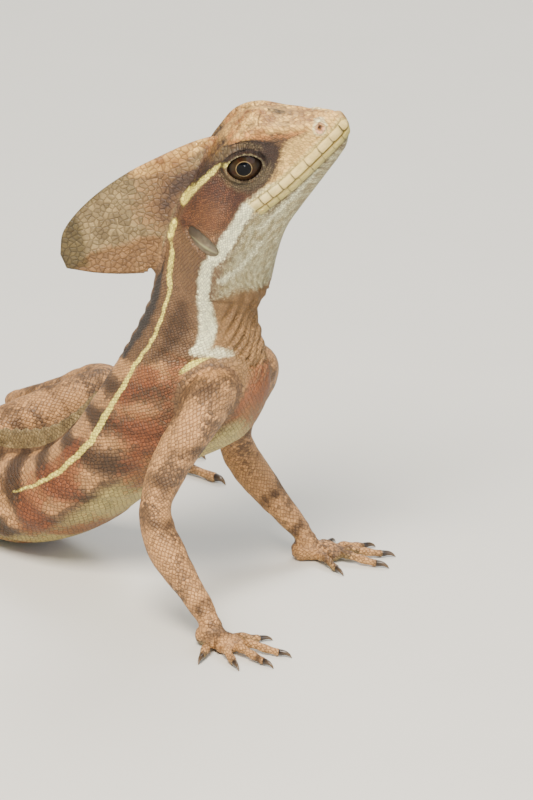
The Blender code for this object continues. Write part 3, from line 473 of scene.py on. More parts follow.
@dataclass
class BodyForm:
    """The net of nine lines from snout to tail, and the bending of its plane."""

    net: Array = field(init=False)
    knots: Array = field(init=False)
    shift: Array = field(default_factory=lambda: np.zeros(3))

    def __post_init__(self) -> None:
        """Lay out the net and add up the body's path through its yaws."""
        trunk = [oval_section(*s[:4]) for s in TRUNK_STATIONS]
        root = TRUNK_STATIONS[-1][0][0]
        tail = []
        for share, height, half_width, _ in TAIL_STATIONS:
            h = root - share * TAIL_LENGTH
            tail.append(oval_section((h, height - FLOOR_BITE), (h, -FLOOR_BITE), half_width, 0.45))
        self.net = np.array([head_section(s) for s in HEAD_STATIONS] + trunk + tail)
        steps = np.linalg.norm(np.diff(self.net, axis=0), axis=2).mean(axis=1)
        self.knots = running(steps)
        count = len(HEAD_STATIONS)
        self.shoulder = self.knots[count + 2]
        self.hip = self.knots[count + 9]
        self.tail_start = self.knots[count + 10]
        yaws = [HEAD_YAW] * count + [s[4] for s in TRUNK_STATIONS] + [t[3] for t in TAIL_STATIONS]
        rolls = [HEAD_ROLL] * count + [s[5] for s in TRUNK_STATIONS] + [0.0] * len(TAIL_STATIONS)
        self.yaws, self.rolls = np.radians(yaws), np.radians(rolls)
        self.fine = np.linspace(self.knots[-1], 0.0, 3000)
        self.middle_h = spline(self.knots, self.net.mean(axis=1), self.fine)[:, 0]
        yaw = spline(self.knots, self.yaws, self.fine, tense=True)
        step, turn = np.diff(self.middle_h), 0.5 * (yaw[1:] + yaw[:-1])
        self.path_x = running(step * np.cos(turn))
        self.path_y = running(step * np.sin(turn))
        at_hip = int(np.interp(self.hip, self.fine[::-1], np.arange(len(self.fine))[::-1]))
        self.path_x -= self.path_x[at_hip]
        self.path_y -= self.path_y[at_hip]

    def share_of_tail(self, share: float) -> float:
        """Place along the body at a share of the tail's length."""
        shares = [0.0] + [t[0] for t in TAIL_STATIONS]
        return float(np.interp(share, shares, self.knots[-len(shares):]))

    def place(self, points: Array, at: Array | float) -> Array:
        """Bend points of the upright plane into the pose: roll about the head's axis, then yaw.

        Args:
            points: Places h, side, z in the plane.
            at: Where along the body each point belongs.

        Returns:
            Places in the frame of the solids, in millimetres.
        """
        at = np.broadcast_to(np.asarray(at, float), points.shape[:-1])
        roll, yaw = (spline(self.knots, x, at, tense=True) for x in (self.rolls, self.yaws))
        cos, sin = math.cos(HEAD_PITCH), math.sin(HEAD_PITCH)
        along, above = turned(points[..., 0] - ROLL_PIVOT[0], points[..., 2] - ROLL_PIVOT[1], -HEAD_PITCH)
        side, above = turned(points[..., 1], above, roll)
        z = ROLL_PIVOT[1] + along * sin + above * cos
        middle, path_x, path_y = (np.interp(at, self.fine[::-1], line[::-1])
                                  for line in (self.middle_h, self.path_x, self.path_y))
        h = ROLL_PIVOT[0] + along * cos - above * sin - middle
        x = path_x + h * np.cos(yaw) - side * np.sin(yaw)
        y = path_y + h * np.sin(yaw) + side * np.cos(yaw)
        return np.stack([x, y, z], axis=-1) + self.shift

    def half_rings(self, at: Array, t: Array) -> Array:
        """Half sections at places along the body, in the plane.

        Each section is a Hermite curve through its nine points, and t runs 0 to 8 from the
        back to the belly.

        Args:
            at: Place of each row.
            t: Places round the section, one row of them for each place.

        Returns:
            Points by row and column.
        """
        lines = spline(self.knots, self.net, at)
        closed = np.concatenate([lines[:, 1:2] * MIRROR, lines, lines[:, -2:-1] * MIRROR], axis=1)
        tangents = 0.5 * (closed[:, 2:] - closed[:, :-2])
        index = np.clip(np.floor(t).astype(int), 0, 7)
        row = np.arange(len(at))[:, None]
        return hermite((t - index)[..., None], lines[row, index], lines[row, index + 1],
                       tangents[row, index], tangents[row, index + 1])

    def head_point(self, f: Array, side: Array, u: Array) -> Array:
        """Bring points of the head's frame into the pose."""
        f, side, u = np.broadcast_arrays(*map(np.asarray, (f, side, u)))
        return self.place(head_to_plane(f.astype(float), side.astype(float), u.astype(float)), 0.0)

    def head_axes(self, lean: float, side: float) -> Array:
        """Unit vectors along a leaning opening, across it, and outwards."""
        origin = self.head_point(0, 0, 0)
        return np.array([
            self.head_point(math.cos(lean), 0, math.sin(lean)) - origin,
            self.head_point(-math.sin(lean), 0, math.cos(lean)) - origin,
            self.head_point(0, side, 0) - origin,
        ])


# Relief of the head


@dataclass(frozen=True)
class EyeForm:
    """Sizes of the eyes and their lids, in the head's frame."""

    centre: tuple[float, float, float] = (-24.9, 8.0, 7.1)
    radius: float = 4.9
    depth: float = 3.5
    lids: tuple[float, float] = (-24.75, 7.75)
    opening: tuple[float, float] = (4.25, 3.45)
    tilt: float = math.radians(30.0)

    def measure(self, f: Array, u: Array) -> Array:
        """1 on the margin of the lids: the radius in the ellipse of their tilted opening."""
        long, short = turned(self.lids[0] - f, u - self.lids[1], -self.tilt)
        corner = 1 + 0.10 * (np.abs(long) / self.opening[0]) ** 2
        return np.hypot(long / self.opening[0], short * corner / self.opening[1])

    def above(self, f: Array, u: Array, slope: float) -> Array:
        """Height above a sloping line through the middle of the lids."""
        return u - self.lids[1] + slope * (f - self.lids[0])

    def cover(self, f: Array, u: Array, extra: float) -> Array:
        """How far out the eyeball, grown by extra, reaches: the height of an ellipsoid."""
        reach = np.hypot(f - self.centre[0], u - self.centre[1]) / (self.radius + extra)
        return self.centre[2] + (self.depth + extra) * np.sqrt(np.clip(1 - reach**2, 0.0, 1.0))


@dataclass(frozen=True)
class HeadRelief:
    """Everything that is modelled on the head's skin, as heights and depths in millimetres."""

    eye: EyeForm = EyeForm()
    ear: tuple[float, float] = (-43.9, -1.7)
    ear_half: tuple[float, float] = (2.0, 4.5)
    ear_lean: float = math.radians(14.0)
    nostril: tuple[float, float] = (-5.3, 3.2)
    mouth: tuple[tuple[float, float], ...] = (
        (-29.0, -2.1), (-20.0, -2.6), (-12.0, -2.35), (-4.0, -2.0), (8.0, -2.0))
    mouth_corner: float = -28.6
    upper_joints: tuple[float, ...] = (-1.7, -4.9, -8.6, -12.7, -17.0, -20.6, -23.7, -26.3)
    lower_joints: tuple[float, ...] = (-2.6, -5.6, -8.9, -12.4, -16.1, -19.6, -22.8, -25.8)
    upper_height: float = 2.5
    lower_height: float = 1.8
    second_height: float = 1.3

    def mouth_gap(self, f: Array, u: Array) -> Array:
        """Height above the line of the mouth."""
        return u - np.interp(f, *zip(*self.mouth))

    def nostril_gap(self, f: Array, u: Array) -> Array:
        """Distance to the middle of the nostril."""
        return np.hypot(f - self.nostril[0], u - self.nostril[1])

    def ear_measure(self, f: Array, u: Array) -> Array:
        """1 on the rim of the ear: the radius in its leaning ellipse."""
        long, tall = turned(f - self.ear[0], u - self.ear[1], -self.ear_lean)
        return np.hypot(long / self.ear_half[0], tall / self.ear_half[1])

    def joint_gap(self, f: Array, joints: tuple[float, ...]) -> Array:
        """Distance to the nearest joint between two plates of a lip."""
        return np.abs(f[..., None] - np.array(joints)).min(axis=-1)

    def between(self, joints: tuple[float, ...]) -> tuple[float, ...]:
        """Joints of a second row of plates, half a plate on from the first."""
        return tuple(0.5 * (a + b) for a, b in zip(joints[:-1], joints[1:])) + tuple(joints[1::2])

    def orbit(self, f: Array, outward: Array, u: Array) -> Array:
        """Drape the lids over the eyeball, with ringed folds, and open them over its middle."""
        measure = self.eye.measure(f, u)
        above = ramp(-1.0, 2.0, self.eye.above(f, u, 0.4))
        lid = self.eye.cover(f, u, 0.62)
        folds = 0.07 * np.cos(2 * math.pi * (measure - 1.2) / 0.17) * hill(measure - 1.45, 0.26)
        rim = 0.26 * hill(measure - 1.10, 0.09)
        cover = 1 - ramp(1.2, 2.1, measure)
        shaped = outward + cover * (np.maximum(lid, outward - 0.9) - outward)
        shaped = shaped + folds * (1 - 0.7 * above) + rim
        shaped = shaped + above * (0.55 * hill(measure - 1.5, 0.16) - 0.45 * hill(measure - 1.28, 0.06))
        sunk = self.eye.cover(f, u, -1.3)
        return shaped + (1 - ramp(0.93, 1.02, measure)) * (sunk - shaped)

    def lift(self, f: Array, side: Array, u: Array, v: Array, brow_v: Array) -> Array:
        """Height of the lips' plates, mouth line, nostril, ear, brow and folds over the skin."""
        gap = self.mouth_gap(f, u)
        front = ramp(self.mouth_corner - 1.5, self.mouth_corner + 1.0, f)
        outer = ramp(0.4, 1.4, np.abs(side))
        lift = np.zeros(f.shape)
        # each row of plates: way up it, swelling and its bluntness, joints, their depth and width
        for up, swell, blunt, joints, depth, width in (
                (gap / self.upper_height, 0.46, 0.4, self.upper_joints, 0.42, 0.17),
                (-gap / self.lower_height, 0.36, 0.45, self.lower_joints, 0.30, 0.17),
                ((gap - self.upper_height) / self.second_height, 0.26, 0.6,
                 self.between(self.upper_joints), 0.24, 0.2)):
            up = np.clip(up, 0, 1)
            lift += swell * np.sin(math.pi * up) ** blunt * front
            lift -= depth * hill(self.joint_gap(f, joints), width) * ((up > 0) & (up < 1)) * front * outer
        lift -= 0.24 * (hill(gap - self.upper_height, 0.2) + hill(gap + self.lower_height, 0.2)) * front
        lift -= 0.15 * hill(gap - self.upper_height - self.second_height, 0.2) * front
        lift -= 0.60 * hill(gap, 0.2) * front
        # the brow's edge and the hollow below it
        on_brow = ramp(-27.0, -22.0, f) * (1 - ramp(-8.5, -5.0, f))
        lift += 0.5 * hill(v - brow_v, 1.1) * on_brow
        lift -= 0.45 * hill(v - brow_v - 2.9, 1.6) * ramp(-24.0, -20.0, f) * (1 - ramp(-15.0, -9.0, f))
        lift -= 0.55 * hill(np.hypot(f + 14.0, 1.2 * (u - 1.8)), 3.2)
        # cheek and jaw muscle
        lift += 0.5 * hill(np.hypot(f + 37.5, u - 3.5), 5.5)
        lift += 0.5 * hill(np.hypot(f + 38.0, u + 8.0), 5.0)
        # nostril: a swollen plate with a pit
        reach = self.nostril_gap(f, u)
        pit = 0.40 * (1 - ramp(0.35, 0.75, reach))
        lift += (0.5 * hill(reach - 1.1, 0.5) - pit) * (np.abs(side) > 2.0)
        # ear: a cup with a soft raised rim
        ear = self.ear_measure(f, u)
        cup = 2.3 * (1 - ramp(0.84, 1.05, ear))
        return lift + (0.34 * hill(ear - 1.28, 0.26) - cup) * (np.abs(side) > 5.0)


# Markings in the skin


@dataclass(frozen=True)
class Mark:
    """One colour of the skin: where a field named for it is above zero, its colour shows."""

    name: str
    colour: str
    softness: float
    ragged: float = 0.5
    amount: float = 1.0


MARKS = (
    Mark("belly", "#b3a263", 2.5, 1.0, 0.9),
    Mark("patch", "#cf9a62", 1.2, 1.4, 0.75),
    Mark("throat", "#8f6c42", 1.6, 1.2),
    Mark("jaw", "#9c9160", 2.4, 1.8, 0.9),
    Mark("crown", "#be7f42", 0.8, 0.5),
    Mark("cheek", "#6c422b", 1.0, 0.9),
    Mark("glow", "#8a5b36", 3.0, 1.5, 0.6),
    Mark("bar", "#46301c", 0.9, 1.0, 0.9),
    Mark("sail", "#8c7450", 0.5),
    Mark("sail_low", "#7e5630", 1.2, 0.9, 0.75),
    Mark("sail_dark", "#463a1a", 1.0, 0.8, 0.78),
    Mark("temple", "#3a2921", 0.9, 0.8, 0.95),
    Mark("muzzle", "#dcb468", 0.8, 0.8, 0.9),
    Mark("brow", "#b87a40", 0.6, 0.8, 0.75),
    Mark("lid", "#6b5d42", 0.4, 0.3, 0.75),
    Mark("rust", "#7c4526", 1.0, 1.0, 0.85),
    # painted shadow: near black along the top of the neck, beside the crests
    Mark("nape", "#2b2a2a", 0.8, 0.8, 0.9),
    Mark("cream", "#f0f0c6", 0.6, 0.4, 0.95),
    Mark("pink", "#dda988", 0.35, 0.2, 0.8),
    Mark("yellow", "#efe06c", 0.25, 0.2),
    Mark("rim", "#c0b684", 0.22, 0.06, 0.85),
    Mark("lip", "#e0c98c", 0.6, 0.3, 0.9),
    Mark("lip_low", "#968a4a", 0.4, 0.3, 0.85),
    # dark: the joints of the lips' plates, and painted shade in the mouth line, the nostril's pit, the ear's
    # cup, the lid's folds, the folds of the crown and the crest's fold
    Mark("dark", "#2b1d14", 0.14, 0.08, 0.9),
)
MARK_NAMES = tuple(mark.name for mark in MARKS)
ZONE_NAMES = ("granular", "plated", "plain")

# Outlines and strokes of the markings.  On the head they are (f, u), further back (s, v).
YELLOW_BROW = ((-26.6, 11.2, 0.26), (-28.3, 11.2, 0.43), (-30.4, 11.0, 0.46), (-32.6, 10.3, 0.49),
               (-36.1, 9.6, 0.46), (-39.6, 8.5, 0.43), (-43.0, 7.2, 0.5), (-44.0, 6.9, 0.5))
YELLOW_EAR = ((-46.9, 4.5, 0.3), (-48.3, 3.6, 0.5), (-51.0, 1.5, 0.46), (-51.9, -0.2, 0.22),
              (-52.9, -2.0, 0.53), (-55.6, -4.6, 0.5), (-59.0, -9.0, 0.43))
YELLOW_BACK = ((58.0, 6.3, 0.54), (61.0, 7.2, 0.5), (65.5, 8.1, 0.47), (70.4, 9.6, 0.47),
               (77.8, 11.4, 0.54), (83.6, 12.2, 0.65), (91.3, 13.4, 0.72), (96.9, 13.8, 0.86),
               (105.2, 14.9, 1.08), (113.0, 16.8, 0.94), (128.0, 17.5, 0.65), (146.0, 16.5, 0.22))
BROW_RIDGE = ((-8.3, 5.3, 0.3), (-10.6, 6.4, 0.54), (-13.9, 8.3, 0.48), (-17.4, 11.5, 0.48),
              (-19.8, 13.6, 0.48), (-24.0, 14.2, 0.36))
CREAM_BAND = ((-21.0, -0.1, 0.77), (-25.0, -0.2, 1.36), (-30.0, -0.3, 1.7), (-34.5, -2.1, 1.61),
              (-38.6, -3.8, 1.87), (-42.6, -5.7, 1.7), (-46.6, -6.6, 1.36), (-49.6, -9.8, 1.36),
              (-52.4, -13.4, 1.44))
CREAM_NECK = ((55.6, 15.6, 1.4), (60.0, 16.3, 1.5), (65.0, 18.9, 1.6), (69.3, 21.6, 1.9),
              (72.6, 23.0, 1.8), (74.3, 22.4, 1.3))
CREAM_STREAK = ((-32.7, -9.8, 0.3), (-36.5, -11.0, 0.5), (-41.3, -12.2, 0.5), (-46.2, -12.4, 0.7))
JAW_STREAK = ((-12.0, -4.6, 0.2), (-17.7, -5.4, 0.35), (-24.0, -6.0, 0.4), (-31.0, -6.6, 0.3))
SHOULDER_MARK = ((75.4, 28.4, 0.8), (76.4, 26.4, 1.3), (78.2, 24.6, 1.4), (80.4, 24.2, 1.1),
                 (82.2, 25.4, 0.7))
SHOULDER_PALE = ((74.8, 22.8, 0.8), (74.4, 26.4, 1.2), (74.6, 30.6, 0.9))
# Stroke of painted shadow along the top of the neck
NAPE_SHADOW_BAND = ((55.0, 2.4, 0.8), (63.0, 3.0, 1.6), (70.0, 4.2, 2.2), (78.0, 5.0, 2.0), (85.0, 6.2, 1.0))
NECK_BLOTCH = ((63.5, 12.0, 1.2), (67.0, 13.0, 2.4), (71.0, 14.6, 2.9), (76.0, 16.0, 1.6), (80.0, 15.0, 0.6))
TEMPLE = ((-14.7, 6.1), (-15.9, 9.1), (-18.6, 11.7), (-22.1, 14.2), (-26.0, 14.5), (-29.0, 14.0),
          (-32.5, 12.6), (-36.5, 12.2), (-40.0, 13.2), (-43.0, 13.9), (-46.5, 12.4), (-49.6, 10.2),
          (-51.0, 6.0), (-50.0, 2.4), (-46.0, 5.2), (-43.0, 6.8), (-38.0, 8.8), (-33.0, 10.2),
          (-28.4, 10.8), (-28.0, 8.0), (-30.4, 5.6), (-27.5, 1.9), (-23.6, 1.4), (-20.0, 2.2),
          (-17.2, 4.2))
CHEEK = ((-29.6, 10.0), (-35.1, 9.1), (-39.8, 7.8), (-42.9, 6.4), (-46.4, 4.2), (-46.4, 2.6),
         (-42.6, 2.0), (-39.4, 0.2), (-36.9, -0.9), (-33.7, 0.5), (-29.4, 1.8), (-26.1, 2.3),
         (-26.0, 3.6), (-28.6, 4.3), (-30.3, 6.6))
MUZZLE = ((2.0, -2.2), (1.0, 2.6), (-3.4, 3.7), (-8.5, 5.0), (-11.3, 5.6), (-14.4, 6.0), (-16.4, 4.2),
          (-19.4, 2.2), (-23.0, 1.2), (-29.0, 0.2), (-30.0, -2.2))
# Folds of the crown and the hollow under the brow, where painted shade darkens the skin
CROWN_CREASE_SHADE = (
    ((-12.8, 12.2, 0.05), (-11.6, 10.9, 0.16), (-10.4, 9.7, 0.08)),
    ((-10.1, 9.3, 0.03), (-9.3, 8.6, 0.1)), ((-16.2, 13.6, 0.1), (-15.2, 13.9, 0.16)),
    ((-13.4, 12.9, 0.05), (-12.9, 12.5, 0.12)),
    ((-12.2, 10.3, 0.0), (-11.6, 9.7, 0.08), (-10.4, 8.7, 0.04)),
    ((-21.5, 14.7, 0.0), (-20.3, 14.8, 0.06)), ((-19.1, 14.5, 0.02), (-17.9, 14.1, 0.08), (-16.9, 13.9, 0.0)),
    ((-12.5, 11.0, -0.04), (-10.6, 9.7, 0.02)),
    ((-14.9, 12.9, 0.04), (-15.1, 12.6, 0.08)), ((-9.7, 8.3, 0.06), (-8.9, 7.9, 0.0)),
    ((-6.1, 5.7, 0.05), (-5.0, 5.1, 0.0)), ((-13.8, 11.4, 0.0), (-13.1, 10.4, 0.03)),
    ((-26.2, 14.1, 0.1), (-21.7, 13.5, 0.22), (-19.3, 11.9, 0.24), (-17.6, 9.7, 0.16), (-15.9, 8.3, 0.14),
     (-14.2, 7.4, 0.1), (-12.6, 6.6, 0.0)))


def blank_fields(shape: tuple[int, ...]) -> dict[str, Array]:
    """Fields of bare skin: no marking and no special scales anywhere."""
    fields = {name: np.full(shape, FAR) for name in MARK_NAMES}
    fields.update({name: np.zeros(shape) for name in ZONE_NAMES})
    return fields


def flank_bars(s: Array, v: Array, points: Array) -> Array:
    """Slanting dark bars across the trunk: a wave along s + v / 2, broken up by noise."""
    wave = np.cos(2 * math.pi * (s + 0.5 * v - 5.0) / 13.5)
    return 2.6 * (wave - 0.35) + 1.6 * noise(points, 7.0, 11) + 0.8 * noise(points, 2.6, 12)


@dataclass
class BodySkin:
    """The skin of head, neck, trunk and tail as one closed surface."""

    form: BodyForm
    relief: HeadRelief = field(default_factory=HeadRelief)
    columns: tuple[int, ...] = (12, 12, 48, 24, 12, 16, 12, 20)
    head_rows_end: float = 66.0
    neck_rows_end: float = 212.0

    def rows(self) -> Array:
        """Places of the rows: steps that grow from 0.2 mm at the eye to 1.3 mm on the tail."""
        stops = np.array([0, 3, 18, 21.5, 32.5, 35, 60, 80, 120, 212, 300, self.form.knots[-1]])
        steps = np.array([.28, .34, .30, .21, .21, .32, .36, .5, .62, .8, 1.1, 1.3])
        at = [0.0]
        while at[-1] < self.form.knots[-1] - 0.4:
            at.append(at[-1] + float(np.interp(at[-1], stops, steps)))
        at[-1] = float(self.form.knots[-1])
        return np.array(at)

    def around(self, at: Array) -> Array:
        """Places round each section: dense at eye and mouth on the head, even further back."""
        ends = [np.arange(count) / count + index for index, count in enumerate(self.columns)]
        head = np.concatenate(ends + [[8.0]])
        even = np.linspace(0.0, 8.0, len(head))
        share = ramp(44.0, 84.0, at)[:, None]
        return head * (1 - share) + even * share

    def size_at(self, s: Array) -> Array:
        """Width of a scale along the body, in millimetres."""
        return np.interp(s, [0, 25, 50, 75, 100, 200, 300, 700], [1.1, 0.95, 0.85, 0.95, 1.15, 1.5, 1.9, 1.2])

    def build(self) -> Sheet:
        """Work out the surface, row by row along the body, and the fields of its skin."""
        form, at = self.form, self.rows()
        t = self.around(at)
        plane = form.half_rings(at, t)
        s = np.broadcast_to(at[:, None], t.shape)
        v = self.arc(plane)
        brow_v = np.array([np.interp(2.0, t[i], v[i]) for i in range(len(at))])[:, None]
        half = v[:, -1:]
        plane = self.shape_head(plane, s, v, brow_v)
        placed = form.place(plane, s)
        lift = self.body_lift(s, v, half, placed)
        plane = plane + self.normals(plane) * lift[..., None]
        placed = on_floor(form.place(plane, s))
        f, side, u = plane_to_head(plane)
        fields = self.paint(s, v, half, brow_v, f, side, u, placed)
        along = running(np.diff(at) / self.size_at(at[1:]))
        fields["lay_x"] = np.broadcast_to(along[:, None], s.shape)
        across = self.size_at(s) * np.where(s < 60, 1.0 - 0.22 * ramp(0, 6, v - brow_v), 1.0)
        steps = np.diff(v, axis=1) / across[:, 1:]
        fields["lay_y"] = np.concatenate([np.zeros((len(at), 1)), np.cumsum(steps, axis=1)], axis=1)
        return self.close(at, placed, on_floor(form.place(plane * MIRROR, s)), fields)

    def arc(self, plane: Array) -> Array:
        """Way round each section from the middle of the back: the sum of its chords."""
        chords = np.linalg.norm(np.diff(plane, axis=1), axis=2)
        return np.concatenate([np.zeros((len(plane), 1)), np.cumsum(chords, axis=1)], axis=1)

    def normals(self, plane: Array) -> Array:
        """Unit normals, outwards: the cross product of the steps along and round the body."""
        along = np.gradient(plane, axis=0)
        round_it = np.gradient(plane, axis=1)
        round_it[:, 0] = round_it[:, -1] = 0
        round_it[:, 0, 1], round_it[:, -1, 1] = 1.0, -1.0
        out = np.cross(round_it, along)
        out /= np.linalg.norm(out, axis=2, keepdims=True) + 1e-9
        centre = plane.mean(axis=1, keepdims=True) * np.array([1.0, 0.0, 1.0])
        return out * np.sign(((plane - centre) * out).sum(axis=2, keepdims=True))

    def shape_head(self, plane: Array, s: Array, v: Array, brow_v: Array) -> Array:
        """Put the orbits and the relief of lips, nostril and ear on the head's rows."""
        head = s[:, 0] < 64.0
        part = plane[head]
        f, side, u = plane_to_head(part)
        near_eye = (side > 5.0) & (self.relief.eye.measure(f, u) < 2.6)
        side = np.where(near_eye, self.relief.orbit(f, side, u), side)
        part = head_to_plane(f, side, u)
        lift = self.relief.lift(f, side, u, v[head], brow_v[head])
        lift = lift * (1 - ramp(57.0, 63.0, s[head]))
        part = part + self.normals(part) * lift[..., None]
        part[:, 0, 1] = part[:, -1, 1] = 0.0
        plane = plane.copy()
        plane[head] = part
        return plane

    def body_lift(self, s: Array, v: Array, half: Array, placed: Array) -> Array:
        """Folds of neck, throat, shoulder and flank, and the unevenness of a living skin."""
        wobble = noise(placed, 9.0, 3)
        lift = 0.10 * noise(placed, 4.5, 1) + 0.05 * noise(placed, 1.8, 2)
        lift = lift * (0.35 + 0.65 * ramp(30.0, 60.0, s)) * (1 - 0.7 * ramp(250, 500, s))
        under = ramp(0.5, 0.72, v / half)
        # throat: folds that run along the neck
        throat = under * ramp(44.0, 54.0, s) * (1 - ramp(76.0, 84.0, s))
        lift = lift + 0.42 * throat * np.sin(2 * math.pi * (v + 0.8 * wobble) / 2.7)
        lift = lift + 0.20 * throat * np.sin(2 * math.pi * (v + 0.5 * s) / 4.3 + 3 * wobble)
        # the fold across the throat in front of the shoulder, and lesser ones behind it
        for place, depth, width in ((77.9, 0.9, 0.8), (73.2, 0.35, 0.8), (83.6, 0.4, 1.0)):
            bent = place + 1.2 * wobble - 0.10 * (v - 26.0)
            inside = ramp(16.0, 26.0, v) * (1 - ramp(0.9, 1.0, v / half))
            lift = lift - depth * hill(s - bent, width) * inside
        # side of the neck and the flank
        neck = ramp(58.0, 68.0, s) * (1 - ramp(84.0, 92.0, s)) * (1 - under)
        lift = lift + 0.16 * neck * np.sin(2 * math.pi * (s + 1.5 * wobble) / 4.4)
        flank = ramp(86.0, 96.0, s) * (1 - ramp(180.0, 200.0, s)) * ramp(10.0, 18.0, v)
        flank = flank * (1 - ramp(0.8, 0.95, v / half))
        return lift + 0.22 * flank * np.sin(2 * math.pi * (s + 0.5 * v + 3.0 * wobble) / 6.5)

    def paint(self, s: Array, v: Array, half: Array, brow_v: Array,
              f: Array, side: Array, u: Array, points: Array) -> dict[str, Array]:
        """Lay out the markings: each field is a depth in millimetres inside its marking."""
        relief, eye = self.relief, self.relief.eye
        head, flat = 60.0 - s, np.abs(side)
        on_eye, on_nose = flat > 5.0, (flat > 2.0) & (head > 40)
        gap, front = relief.mouth_gap(f, u), f - relief.mouth_corner
        measure, reach = eye.measure(f, u), relief.nostril_gap(f, u)
        above, over_eye = ramp(-2.0, 2.5, eye.above(f, u, 0.5)), ramp(0.0, 4.0, eye.above(f, u, 0.3))
        hood = 0.15 - np.abs(measure - 1.62) * 1.2 - 1.2 * (1 - over_eye)
        ringed = 0.45 - np.abs(measure - 1.3) * 1.3 - 0.9 * above
        rims = most(least(-0.10 - np.abs(measure - 1.06) * 3.4, 0.1 - above),
                    least(0.02 - np.abs(measure - 1.09) * 3.4, (above - 0.3) * 0.5))
        bars = flank_bars(s, v, points)
        dry = v - (0.70 + 0.16 * hill(s - 88.0, 10.0)) * half
        low_head = np.where(front > 0, -gap - 1.6, v - 0.50 * half)
        jaw_end = 58.5 - s - 11.0 * ramp(0.55, 1.0, v / half) + 4.5 * noise(points, 5.0, 23)
        fields = blank_fields(s.shape)
        fields.update(
            belly=only(s > 78, dry + 1.5 * noise(points, 8.0, 21)),
            throat=least(s - 47.0, 86.0 - s, v - 0.52 * half) + noise(points, 4.0, 22),
            jaw=least(low_head, jaw_end),
            crown=least(brow_v - v + 1.7, (33.0 - s) * 0.7),
            cheek=least(patch_depth(f, u, CHEEK), head),
            glow=only(s < 60, 5.0 - np.hypot(f + 39.0, 1.4 * (u - 2.6))),
            temple=least(patch_depth(f, u, TEMPLE), head, np.where(f > -20.0, v - brow_v - 0.9, 3.0)),
            muzzle=least(patch_depth(f, u, MUZZLE), head, v - brow_v),
            brow=only(head > 20, path_depth(f, u, BROW_RIDGE)),
            lid=most(only(on_eye, ringed), only(on_eye & (head > 20), hood)),
            cream=most(
                only(s < 58, most(path_depth(f, u, CREAM_BAND), path_depth(f, u, CREAM_STREAK) * 0.8)),
                only(s > 52, path_depth(s, v, CREAM_NECK)), only(s < 50, path_depth(f, u, JAW_STREAK)),
                only(on_nose, 0.1 - np.abs(reach - 1.55) * 1.3),
                only(s > 70, path_depth(s, v, SHOULDER_PALE) * 0.6)),
            yellow=most(
                only(s < 60, most(path_depth(f, u, YELLOW_BROW), path_depth(f, u, YELLOW_EAR))),
                only(s > 56, path_depth(s, v, YELLOW_BACK)), only(s > 70, path_depth(s, v, SHOULDER_MARK))),
            rim=only(on_eye & (s < 50), rims),
            # painted shadow along the top of the neck
            nape=path_depth(s, v, NAPE_SHADOW_BAND),
            bar=most(least(bars, s - 84.0, 3.0 - most(v - 0.62 * half, 0.0)),
                     path_depth(s, v, NECK_BLOTCH) * 0.7),
            patch=least(-bars - 2.0 + 1.5 * noise(points, 5.0, 24), s - 80.0, 26.0 - v),
            rust=most(least(2.2 * noise(points, 9.0, 25) - 0.4, s - 78.0, v - 13.0),
                      3.2 - np.hypot(s - 85.5, 0.8 * (v - 17.5)), 3 * only(on_nose, 0.74 - reach)),
            pink=least(only(on_nose, 1.15 - reach), (reach - 0.6) * 2),
            lip=only(head > 5, least(gap, relief.upper_height + 0.9 - gap, front + 0.5)),
            lip_low=only(head > 5, least(-gap, relief.lower_height + gap, front)),
            # dark: the joints of the lips' plates, and painted shade in the mouth line, nostril, ear cup and
            # folds
            dark=only(head > 2, self.creases(f, u, gap, front, flat)))
        plates = least(gap, relief.upper_height - gap, front + 0.5)
        beads = most(*(fields[k] for k in ("temple", "cheek", "glow", "lid", "jaw", "throat")))
        fields["granular"] = ramp(-0.5, 0.5, beads) * (1 - ramp(62.0, 76.0, s))
        fields["plated"] = ramp(-0.3, 0.5, most(fields["crown"], fields["muzzle"] - 1.0)) * (s < 50)
        fields["plain"] = ramp(-0.1, 0.15, most(plates, fields["lip_low"])) * (s < 50)
        return fields

    def creases(self, f: Array, u: Array, gap: Array, front: Array, flat: Array) -> Array:
        """Depth inside the dark lines: the joints between the lips' plates, which are their own dark colour,
        and painted shade in the mouth line, the nostril's pit, the ear's cup, the lid's folds and the folds
        of the crown.
        """
        relief = self.relief
        measure, above = relief.eye.measure(f, u), relief.eye.above(f, u, 0.5)
        folds = [least(0.03 - np.abs(measure - ring) * 3.2, -above * 0.3) for ring in (1.24, 1.41, 1.58)]
        # painted shade in grooves, pits and folds; the lips' plate joints are their own dark colour
        return most(
            least(0.07 - np.abs(gap), front),
            least(0.14 - relief.joint_gap(f, relief.upper_joints), gap, relief.upper_height - gap, front),
            least(0.09 - relief.joint_gap(f, relief.lower_joints), -gap, relief.lower_height + gap, front),
            only(flat > 2.0, 0.38 - relief.nostril_gap(f, u)),
            *(path_depth(f, u, crease) for crease in CROWN_CREASE_SHADE),
            only(flat > 5.0, most(least(0.26 - np.abs(measure - 1.28) * 3.2, above * 0.3 + 0.3), *folds)),
            only(flat > 5.0, (0.90 - relief.ear_measure(f, u)) * 2.4))

